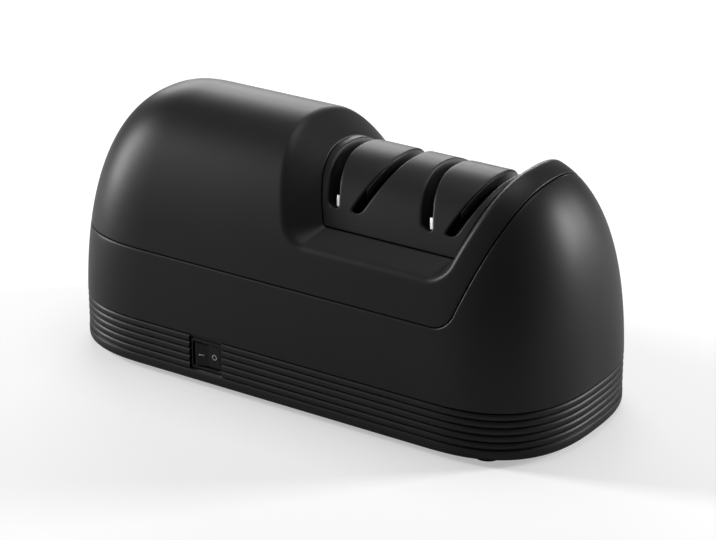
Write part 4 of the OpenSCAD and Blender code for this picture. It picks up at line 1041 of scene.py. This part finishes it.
def rocker_frame(shape, base):
    """Pivot of the rocker, its axes at rest and the depth of its ridge in front of the pivot."""
    pivot = np.array([base.switch_x, -shape.body_w / 2 + base.pivot_in, base.switch_z])
    a = base.rock_angle / 2
    axes = np.array([[math.cos(a), math.sin(a), 0], [-math.sin(a), math.cos(a), 0], [0, 0, 1.0]])
    return pivot, axes, base.pivot_in - base.bezel_in - RIDGE_LOW


# Columns and rows of the rocker's face, rounding of its edges, and share of a right angle in their spread
ROCKER_COLUMNS, ROCKER_ROWS, ROCKER_EDGE, SPREAD = 48, 28, 0.55, 0.999
# Softness of the rocker's ridge as a share of its half width, and its back behind the pivot
RIDGE, ROCKER_BACK = 0.03, 2.0
# Radii of the ring, size and corner of the bar, and how far a mark's faces lie below and above the rocker's
RING_OUTER, RING_INNER, RING_POINTS = 1.15, 0.78, 40
BAR_W, BAR_H, BAR_CORNER = 2.3, 0.5, 0.12
SUNK, RAISED = -0.05, 0.03


def spread_out(half, n):
    """Places from -half to half in n steps, closer together towards the ends."""
    return half * np.sin(np.linspace(-1, 1, n + 1) * RIGHT * SPREAD) / math.sin(RIGHT * SPREAD)


def build_rocker(shape, base, material):
    """The rocker: two hollowed halves that meet in a ridge line, with softened edges."""
    pivot, axes, face = rocker_frame(shape, base)
    w, h, r = base.rocker_w, base.rocker_h, ROCKER_EDGE
    rise = w / 2 * math.tan(base.rock_angle / 2)
    gx, gz = np.meshgrid(spread_out(w / 2, ROCKER_COLUMNS), spread_out(h / 2, ROCKER_ROWS), indexing="ij")
    near = np.minimum(w / 2 - np.abs(gx), h / 2 - np.abs(gz))
    soft = np.where(near < r, r - np.sqrt(np.maximum(r * r - (r - near) ** 2, 0)), 0)
    ridge = np.hypot(gx / (w / 2), RIDGE) - RIDGE
    front = np.stack([gx, -face - rise * ridge + soft, gz], -1)
    back = np.stack([gx, np.full_like(gx, ROCKER_BACK), gz], -1)
    shell = Shell()
    shell.grid(front, FRONT)
    shell.grid(back, REAR)
    for rim, out in ((np.s_[0], (-1, 0, 0)), (np.s_[-1], (1, 0, 0)),
                     (np.s_[:, 0], (0, 0, -1)), (np.s_[:, -1], (0, 0, 1))):
        shell.grid(np.stack([front[rim], back[rim]]), np.array(out, float))
    shell.turn(pivot, axes)
    return shell.build("switch_rocker", material)


def build_marks(shape, base, material):
    """The white bar and ring printed on the rocker's halves."""
    pivot, axes, face = rocker_frame(shape, base)
    slope = math.tan(base.rock_angle / 2)
    shell = Shell()

    def plate(outer, inner, cx):
        """A thin print between two outlines that both go round cx."""
        rows = []
        for loop, up in ((outer, SUNK), (outer, RAISED), (inner, RAISED), (inner, SUNK)):
            x = loop[:, 0] + cx
            rows.append(np.column_stack([x, -face - slope * np.abs(x) - up, loop[:, 1]]))
        pts, middle = closed(np.stack(rows)), np.array([cx, 0, 0])
        shell.grid(pts[1:3], FRONT)
        shell.grid(pts[:2], pts[:2] - middle)
        shell.grid(pts[2:], middle - pts[2:])
        shell.grid(np.stack([pts[3], pts[0]]), REAR)

    turn = np.linspace(0, 2 * math.pi, RING_POINTS + 1)[:-1]
    circle = np.stack([np.cos(turn), np.sin(turn)], -1)
    bar = box_loop(BAR_W, BAR_H, BAR_CORNER)
    plate(circle * RING_OUTER, circle * RING_INNER, base.rocker_w / 4)
    plate(bar, bar * CLOSED, -base.rocker_w / 4)
    shell.turn(pivot, axes)
    return shell.build("rocker_marks", material)


# ---- feet ----

# Rounding of a foot's rim; depth of its dimple, and the dimple's floor and edge as shares of the radius
FOOT_RIM, DIMPLE, DIMPLE_FLOOR, DIMPLE_EDGE = 0.6, 0.35, 0.45, 0.55
# Radius and length of the plug that holds a foot in the base
PLUG_R, PLUG_L = 2.2, 2.0
# Steps round a foot
FOOT_STEPS = 48


def build_feet(base, material):
    """Four round rubber feet with softened rims and a shallow dimple."""
    r, h = base.foot_r, FOOT_Z
    profile = [(0.0, DIMPLE), (r * DIMPLE_FLOOR, DIMPLE), (r * DIMPLE_EDGE, 0.0)]
    for t in np.linspace(0, RIGHT, EDGE_POINTS):
        profile.append((r - FOOT_RIM * (1 - math.sin(t)), FOOT_RIM * (1 - math.cos(t))))
    profile += [(r, h), (PLUG_R, h), (PLUG_R, h + PLUG_L), (0.0, h + PLUG_L)]
    around = np.linspace(0, 2 * math.pi, FOOT_STEPS + 1)
    foot = np.stack([np.stack([q * np.cos(around), q * np.sin(around), np.full_like(around, z)], -1)
                     for q, z in profile])
    shell = Shell()
    for x in (-base.foot_x, base.foot_x):
        for y in (-base.foot_y, base.foot_y):
            shell.grid(foot + np.array([x, y, -FOOT_Z]), foot - np.array([0, 0, 1.0]), lead=len(profile))
    return shell.build("rubber_foot_set", material)


# ---- disc springs ----

# Points nearer than this to the cut through a spring lie in it, in metres
IN_CUT = 1e-7


def build_spring_half(node, side, material):
    """One half of a disc spring: the node's coil, cut square at its middle and closed there."""
    source = frame["nodes"][node]
    coil = bmesh.new()
    coil.from_mesh(source.data)
    coil.transform(source.matrix_world)
    bmesh.ops.remove_doubles(coil, verts=coil.verts, dist=DOUBLE)
    low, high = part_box(node)
    middle = (low[0] + high[0]) / 2
    everything = [*coil.verts, *coil.edges, *coil.faces]
    bmesh.ops.bisect_plane(coil, geom=everything, dist=IN_CUT, plane_co=(middle, 0, 0), plane_no=(1, 0, 0),
                           clear_outer=side < 0, clear_inner=side > 0)
    bmesh.ops.holes_fill(coil, edges=[edge for edge in coil.edges if edge.is_boundary])
    bmesh.ops.recalc_face_normals(coil, faces=coil.faces)
    name = f"{node}_{'left' if side < 0 else 'right'}_half"
    mesh = bpy.data.meshes.new(name)
    coil.to_mesh(mesh)
    coil.free()
    mesh.materials.append(material)
    return link_object(name, mesh)


# ---- finishes ----

# Shine of a moulded plastic, how far its roughness drifts, and how often per metre
PLASTIC_SHINE, GLOSS_DRIFT, DRIFT_SCALE = 0.26, 0.03, 45
# A metal's darker tone as a share of its colour, and its roughness from the smoothest to the roughest line
METAL_DARK, METAL_SMOOTH, METAL_ROUGH = 0.82, 0.75, 1.3
# A bonded abrasive's darker tone as a share of its colour, its roughness and the depth between its grains
GRIT_DARK, GRIT_ROUGH, GRIT_DEPTH = 0.45, 0.8, 6e-5


class Finish:
    """A material under way: its tree, its shader and the Object coordinates that its patterns read."""

    def __init__(self, name, values=None):
        self.mat = bpy.data.materials.new(name)
        self.mat.use_nodes = True
        self.tree = self.mat.node_tree
        self.tree.nodes.clear()
        self.shader = add_node(self.tree, "ShaderNodeBsdfPrincipled", values)
        self.output = add_node(self.tree, "ShaderNodeOutputMaterial", {"Surface": self.shader})

    def place(self):
        """Object coordinates, in metres."""
        return add_node(self.tree, "ShaderNodeTexCoord").outputs["Object"]

    def noise(self, place, scale, detail=3):
        """A noise pattern, scale per metre."""
        return add_node(self.tree, "ShaderNodeTexNoise", {"Vector": place, "Scale": scale, "Detail": detail})

    def roughen(self, pattern, low, high):
        """Roughness that runs from low to high with a pattern."""
        self.feed("Roughness", add_node(self.tree, "ShaderNodeMapRange",
                                        {"Value": pattern, "To Min": low, "To Max": high}))

    def emboss(self, pattern, depth):
        """Relief, depth in metres."""
        self.feed("Normal", add_node(self.tree, "ShaderNodeBump", {"Height": pattern, "Distance": depth}))

    def tone(self, pattern, first, second):
        """Colour that runs from the first to the second with a pattern."""
        mix = add_node(self.tree, "ShaderNodeMix", {"Factor": pattern, "A": (*first, 1), "B": (*second, 1)},
                       data_type="RGBA")
        self.feed("Base Color", mix.outputs["Result"])

    def feed(self, name, source):
        """Links a pattern's result to one of the shader's inputs."""
        join(self.tree, source, self.shader.inputs[name])


def plastic(name, base, rough, grain, depth):
    """A moulded plastic: fine grain in the surface and a slow drift in its gloss."""
    finish = Finish(name, {"Base Color": (*base, 1), "Specular IOR Level": PLASTIC_SHINE})
    place = finish.place()
    finish.emboss(finish.noise(place, grain), depth)
    finish.roughen(finish.noise(place, DRIFT_SCALE, detail=4), rough - GLOSS_DRIFT, rough + GLOSS_DRIFT)
    return finish.mat


def metal(name, base, rough, stretch=(1, 1, 1), grain=900, depth=4e-6):
    """A metal with drawn or ground lines in its surface; stretch sets which way they run."""
    finish = Finish(name, {"Metallic": 1.0})
    run = add_node(finish.tree, "ShaderNodeMapping", {"Vector": finish.place(), "Scale": stretch})
    lines = finish.noise(run, grain)
    finish.tone(lines, [METAL_DARK * c for c in base], base)
    finish.roughen(lines, rough * METAL_SMOOTH, rough * METAL_ROUGH)
    finish.emboss(lines, depth)
    return finish.mat


def grit(name, base, scale):
    """Bonded abrasive: hard grains of two tones in a rough face."""
    finish = Finish(name, {"Roughness": GRIT_ROUGH})
    grains = add_node(finish.tree, "ShaderNodeTexVoronoi", {"Vector": finish.place(), "Scale": scale})
    finish.tone(grains.outputs["Color"], base, [GRIT_DARK * c for c in base])
    finish.emboss(grains.outputs["Distance"], GRIT_DEPTH)
    return finish.mat


def inner_finishes():
    """Finishes of the pieces inside the housing, by the record's slot."""
    # each row holds what its maker takes after the name, from the colour on
    made = {
        metal: {
            "spring_steel": ((0.60, 0.61, 0.64), 0.42, (1, 0.05, 1)),
            "screw_steel": ((0.55, 0.56, 0.58), 0.32),
            "spindle_steel": ((0.56, 0.57, 0.59), 0.2, (1, 12, 12)),
            "plated_steel": ((0.6, 0.6, 0.62), 0.35),
            "core_steel": ((0.3, 0.3, 0.32), 0.45, (30, 1, 1)),
            "frame_casting": ((0.42, 0.43, 0.45), 0.5, (1, 1, 1), 500, 2e-5),
            "bush_bronze": ((0.52, 0.34, 0.16), 0.4),
            "terminal_brass": ((0.62, 0.47, 0.2), 0.35),
            "winding_copper": ((0.55, 0.2, 0.08), 0.35, (1, 14, 14), 400, 1e-4),
        },
        plastic: {
            "magnet_ferrite": ((0.045, 0.045, 0.05), 0.7, 1800, 1e-5),
            "inner_plastic": ((0.03, 0.03, 0.032), 0.55, 2500, 1e-5),
            "fan_plastic": ((0.6, 0.6, 0.57), 0.45, 2500, 1e-5),
            "coupling_rubber": ((0.02, 0.02, 0.02), 0.75, 1500, 2e-5),
            "board_laminate": ((0.20, 0.13, 0.05), 0.5, 1200, 8e-6),
            "capacitor_sleeve": ((0.01, 0.012, 0.05), 0.3, 2500, 4e-6),
            "fuse_glass": ((0.55, 0.58, 0.58), 0.12, 2500, 1e-6),
            "lead_sleeve": ((0.25, 0.015, 0.012), 0.4, 2500, 4e-6),
        },
        grit: {
            "coarse_abrasive": ((0.16, 0.13, 0.11), 2200),
            "fine_abrasive": ((0.42, 0.38, 0.34), 4200),
        },
    }
    return {name: maker(name, *values) for maker, rows in made.items() for name, values in rows.items()}


# The housing's own finishes by slot: the property that holds the colour, the roughness, the grain per metre
# and its depth in metres
SHELL_FINISHES = {
    "housing_plastic": ("housing", 0.42, 2600, 6e-6),
    "base_plastic": ("base", 0.43, 2600, 6e-6),
    "guide_plastic": ("guide", 0.42, 3000, 3e-6),
    "switch_plastic": ("switch", 0.30, 3000, 3e-6),
    "foot_rubber": ("rubber", 0.8, 1500, 2e-5),
    "mark_paint": ("marks", 0.5, 4000, 2e-6),
}


def shell_finish(slot):
    """One of the housing's own finishes, made when first asked for."""
    name = "moulded_" + slot
    if name in bpy.data.materials:
        return bpy.data.materials[name]
    tint, *values = SHELL_FINISHES[slot]
    return plastic(name, getattr(bpy.context.scene.sharpener_colours, tint), *values)


# ---- stage ----

# The camera that was fitted to the photograph's outline: the photograph's width and the focal length in
# pixels, sensor in mm, turn and rise, and, in metres, height of the point it aims at, distance and shift
PHOTO_W, FOCAL_PX = 716, 2600.0
SENSOR = 36.0
TURN, RISE = math.radians(33.70), math.radians(22.98)
AIM_Z = 0.05361
DISTANCE = 1.0171
SHIFT_RIGHT, SHIFT_UP = -0.00366, 0.01138

# Soft lamps: name, place in metres, width, height and power
LAMPS = (("rear_lamp", (-0.80, 1.06, 0.48), 0.9, 0.30, 6.5),
         ("left_lamp", (-1.20, -0.40, 0.47), 0.24, 0.75, 17.0),
         ("right_lamp", (0.97, 0.87, 0.42), 0.28, 0.55, 15.0),
         ("overhead_lamp", (0.0, 0.3, 1.3), 0.9, 0.7, 5.0))
LAMP_TARGET = (0, 0, 0.06)

# Strength of the plain surroundings, and how much of the white that the camera sees a gloss reflects
SURROUNDINGS, GLOSS_WHITE = 0.03, 0.25
# Half the floor's width in metres, its roughness and shine, and the glow that the camera sees on it
FLOOR_HALF, FLOOR_ROUGH, FLOOR_SHINE, FLOOR_GLOW = 3.0, 0.9, 0.1, 0.42


def add_camera():
    """The camera of the photograph's view."""
    right = Vector((math.cos(TURN), math.sin(TURN), 0))
    ahead = Vector((-math.sin(TURN) * math.cos(RISE), math.cos(TURN) * math.cos(RISE), -math.sin(RISE)))
    up = right.cross(ahead)
    data = bpy.data.cameras.new("photo_camera")
    data.sensor_fit = "HORIZONTAL"
    data.sensor_width = SENSOR
    data.lens = FOCAL_PX / PHOTO_W * SENSOR
    camera = bpy.data.objects.new("photo_camera", data)
    place = Vector((0, 0, AIM_Z)) - right * SHIFT_RIGHT - up * SHIFT_UP - ahead * DISTANCE
    turn = Matrix((right, up, -ahead)).transposed()
    camera.matrix_world = Matrix.Translation(place) @ turn.to_4x4()
    bpy.context.scene.collection.objects.link(camera)
    bpy.context.scene.camera = camera


def add_lamp(name, place, width, height, power):
    """A soft rectangular lamp that faces the object."""
    data = bpy.data.lights.new(name, "AREA")
    data.shape = "RECTANGLE"
    data.size, data.size_y = width, height
    data.energy = power
    lamp = bpy.data.objects.new(name, data)
    lamp.location = place
    lamp.rotation_euler = (Vector(LAMP_TARGET) - Vector(place)).to_track_quat("-Z", "Y").to_euler()
    bpy.context.scene.collection.objects.link(lamp)


def white_share(tree):
    """How much of the plain white a ray meets: all for the camera and glass, some for a gloss."""
    path = add_node(tree, "ShaderNodeLightPath").outputs
    straight = calculate(tree, "MAXIMUM", path["Is Camera Ray"], path["Is Transmission Ray"])
    gloss = calculate(tree, "MULTIPLY", path["Is Glossy Ray"], GLOSS_WHITE)
    return calculate(tree, "MAXIMUM", straight, gloss)


def add_surroundings():
    """Plain light from all round, and white where the camera sees past the floor."""
    world = bpy.data.worlds.new("surroundings")
    bpy.context.scene.world = world
    world.use_nodes = True
    tree = world.node_tree
    tree.nodes.clear()
    plain, seen = (add_node(tree, "ShaderNodeBackground", {"Color": (1, 1, 1, 1), "Strength": strength})
                   for strength in (SURROUNDINGS, 1.0))
    mix = add_node(tree, "ShaderNodeMixShader", {0: white_share(tree), 1: plain, 2: seen})
    add_node(tree, "ShaderNodeOutputWorld", {"Surface": mix})


def add_floor(colour):
    """A plain pale floor that fades into the white where the camera sees it."""
    half = FLOOR_HALF
    mesh = bpy.data.meshes.new("floor")
    corners = [(-half, -half, 0), (half, -half, 0), (half, half, 0), (-half, half, 0)]
    mesh.from_pydata(corners, [], [(0, 1, 2, 3)])
    finish = Finish("pale_floor", {"Base Color": (*colour, 1), "Roughness": FLOOR_ROUGH,
                                   "Specular IOR Level": FLOOR_SHINE})
    tree = finish.tree
    seen = add_node(tree, "ShaderNodeLightPath").outputs["Is Camera Ray"]
    strength = calculate(tree, "MULTIPLY", seen, FLOOR_GLOW)
    glow = add_node(tree, "ShaderNodeEmission", {"Color": (1, 1, 1, 1), "Strength": strength})
    both = add_node(tree, "ShaderNodeAddShader", {0: finish.shader, 1: glow})
    join(tree, both, finish.output.inputs["Surface"])
    mesh.materials.append(finish.mat)
    link_object("floor", mesh)


def build_stage(tint):
    """The pale floor, the white surroundings, the lamps and the camera."""
    bpy.context.scene.view_settings.view_transform = "Standard"
    add_surroundings()
    add_floor(tint.stage)
    for lamp in LAMPS:
        add_lamp(*lamp)
    add_camera()


# ---- operators ----

class PieceOperator:
    """What every operator here shares: it makes one piece, or a group of like pieces."""
    bl_options = {"REGISTER", "UNDO"}

    def execute(self, context):
        self.make(Sizes(context.scene.sharpener_shape), Sizes(context.scene.sharpener_base))
        return {"FINISHED"}


def fit(obj, body, slot, *nodes):
    """Rides a piece on its body and lets it stand for CAD nodes; the slot is not used."""
    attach(obj, body)
    if nodes:
        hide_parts(*nodes)


class SHARPENER_OT_base(PieceOperator, bpy.types.Operator):
    """Build the base tray"""
    bl_idname = "sharpener.base"
    bl_label = "Base tray"

    def make(self, shape, base):
        fit(build_base(shape, base, shell_finish("base_plastic")), "root", "base_plastic", "base_tray")


class SHARPENER_OT_ribs(PieceOperator, bpy.types.Operator):
    """Build the ribs round the base"""
    bl_idname = "sharpener.ribs"
    bl_label = "Ribs"

    def make(self, shape, base):
        fit(build_ribs(shape, base, shell_finish("base_plastic")), "root", "base_plastic")


class SHARPENER_OT_lower_housing(PieceOperator, bpy.types.Operator):
    """Build the lower housing and the right end"""
    bl_idname = "sharpener.lower_housing"
    bl_label = "Lower housing"

    def make(self, shape, base):
        obj = build_lower_housing(Dome(shape), base, shell_finish("housing_plastic"))
        fit(obj, "root", "housing_plastic", "lower_housing")


class SHARPENER_OT_upper_cover(PieceOperator, bpy.types.Operator):
    """Build the upper cover with its saddle"""
    bl_idname = "sharpener.upper_cover"
    bl_label = "Upper cover"

    def make(self, shape, base):
        obj = build_upper_cover(Dome(shape), shell_finish("housing_plastic"))
        fit(obj, "root", "housing_plastic", "upper_cover")


class SHARPENER_OT_guide_cover(PieceOperator, bpy.types.Operator):
    """Build the slotted guide cover"""
    bl_idname = "sharpener.guide_cover"
    bl_label = "Guide cover"

    def make(self, shape, base):
        obj = build_guide_cover(Dome(shape), shell_finish("guide_plastic"))
        fit(obj, "root", "guide_plastic", "guide_cover")


class SHARPENER_OT_switch(PieceOperator, bpy.types.Operator):
    """Build the switch's frame, rocker and marks"""
    bl_idname = "sharpener.switch"
    bl_label = "Switch"

    def make(self, shape, base):
        plain = shell_finish("switch_plastic")
        fit(build_bezel(shape, base, plain), "root", "switch_plastic", "switch_body")
        fit(build_rocker(shape, base, plain), "rocker", "switch_plastic", "rocker")
        fit(build_marks(shape, base, shell_finish("mark_paint")), "rocker", "switch_plastic")


class SHARPENER_OT_feet(PieceOperator, bpy.types.Operator):
    """Build the rubber feet"""
    bl_idname = "sharpener.feet"
    bl_label = "Feet"

    def make(self, shape, base):
        fit(build_feet(base, shell_finish("foot_rubber")), "root", "foot_rubber", "rubber_feet")


class SHARPENER_OT_inner_finishes(PieceOperator, bpy.types.Operator):
    """Give every carried-over piece of the mechanism its finish"""
    bl_idname = "sharpener.inner_finishes"
    bl_label = "Inner finishes"

    def make(self, shape, base):
        finishes = inner_finishes()
        slots = {part["node"]: part["material_slot"] for part in frame["record"]["subparts"]}
        for node, obj in frame["nodes"].items():
            if obj.hide_render:
                continue
            name = slots.get(node, "inner_plastic")
            mat = finishes.get(name) or shell_finish(name)
            for place in obj.material_slots:
                place.material = mat
            if not obj.material_slots:
                obj.data.materials.append(mat)


class SHARPENER_OT_spring_tongues(PieceOperator, bpy.types.Operator):
    """Build the spring strips' turned-out ends that glint in two slots"""
    bl_idname = "sharpener.spring_tongues"
    bl_label = "Spring tongues"

    def make(self, shape, base):
        material = frame["nodes"]["blade_springs"].material_slots[0].material
        fit(build_spring_tongues(Dome(shape), material), "root", "spring_steel")


class SHARPENER_OT_disc_springs(PieceOperator, bpy.types.Operator):
    """Halve the disc springs, each half cut square at the coil's middle and closed there"""
    bl_idname = "sharpener.disc_springs"
    bl_label = "Disc springs"

    def make(self, shape, base):
        for grade in ("coarse", "fine"):
            node = grade + "_spring"
            material = frame["nodes"][node].material_slots[0].material
            low, high = (Vector(corner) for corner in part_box(node))
            for side, end, word in ((-1, low.x, "left"), (1, high.x, "right")):
                half = build_spring_half(node, side, material)
                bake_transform(half)
                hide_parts(node)


class SHARPENER_OT_stage(bpy.types.Operator):
    """Build the floor, the lamps and the camera"""
    bl_idname = "sharpener.stage"
    bl_label = "Stage"
    bl_options = {"REGISTER", "UNDO"}

    def execute(self, context):
        build_stage(context.scene.sharpener_colours)
        return {"FINISHED"}


class VIEW3D_PT_sharpener(bpy.types.Panel):
    """The sharpener's pieces in the order in which they are built"""
    bl_label = "Knife sharpener"
    bl_idname = "VIEW3D_PT_sharpener"
    bl_space_type = "VIEW_3D"
    bl_region_type = "UI"
    bl_category = "Sharpener"

    def draw(self, context):
        column = self.layout.column(align=True)
        for operator in OPERATORS:
            column.operator(operator.bl_idname)


OPERATORS = (SHARPENER_OT_base, SHARPENER_OT_ribs, SHARPENER_OT_lower_housing, SHARPENER_OT_upper_cover,
             SHARPENER_OT_guide_cover, SHARPENER_OT_switch, SHARPENER_OT_feet, SHARPENER_OT_inner_finishes,
             SHARPENER_OT_spring_tongues, SHARPENER_OT_disc_springs, SHARPENER_OT_stage)
CLASSES = (SharpenerShape, SharpenerBase, SharpenerColours, *OPERATORS, VIEW3D_PT_sharpener)


def register():
    for cls in CLASSES:
        bpy.utils.register_class(cls)
    bpy.types.Scene.sharpener_shape = bpy.props.PointerProperty(type=SharpenerShape)
    bpy.types.Scene.sharpener_base = bpy.props.PointerProperty(type=SharpenerBase)
    bpy.types.Scene.sharpener_colours = bpy.props.PointerProperty(type=SharpenerColours)


def unregister():
    del bpy.types.Scene.sharpener_colours
    del bpy.types.Scene.sharpener_base
    del bpy.types.Scene.sharpener_shape
    for cls in reversed(CLASSES):
        bpy.utils.unregister_class(cls)


def main():
    """Builds every piece in order."""
    register()
    for operator in OPERATORS:
        group, name = operator.bl_idname.split(".")
        getattr(getattr(bpy.ops, group), name)()


if __name__ == "__main__":
    main()
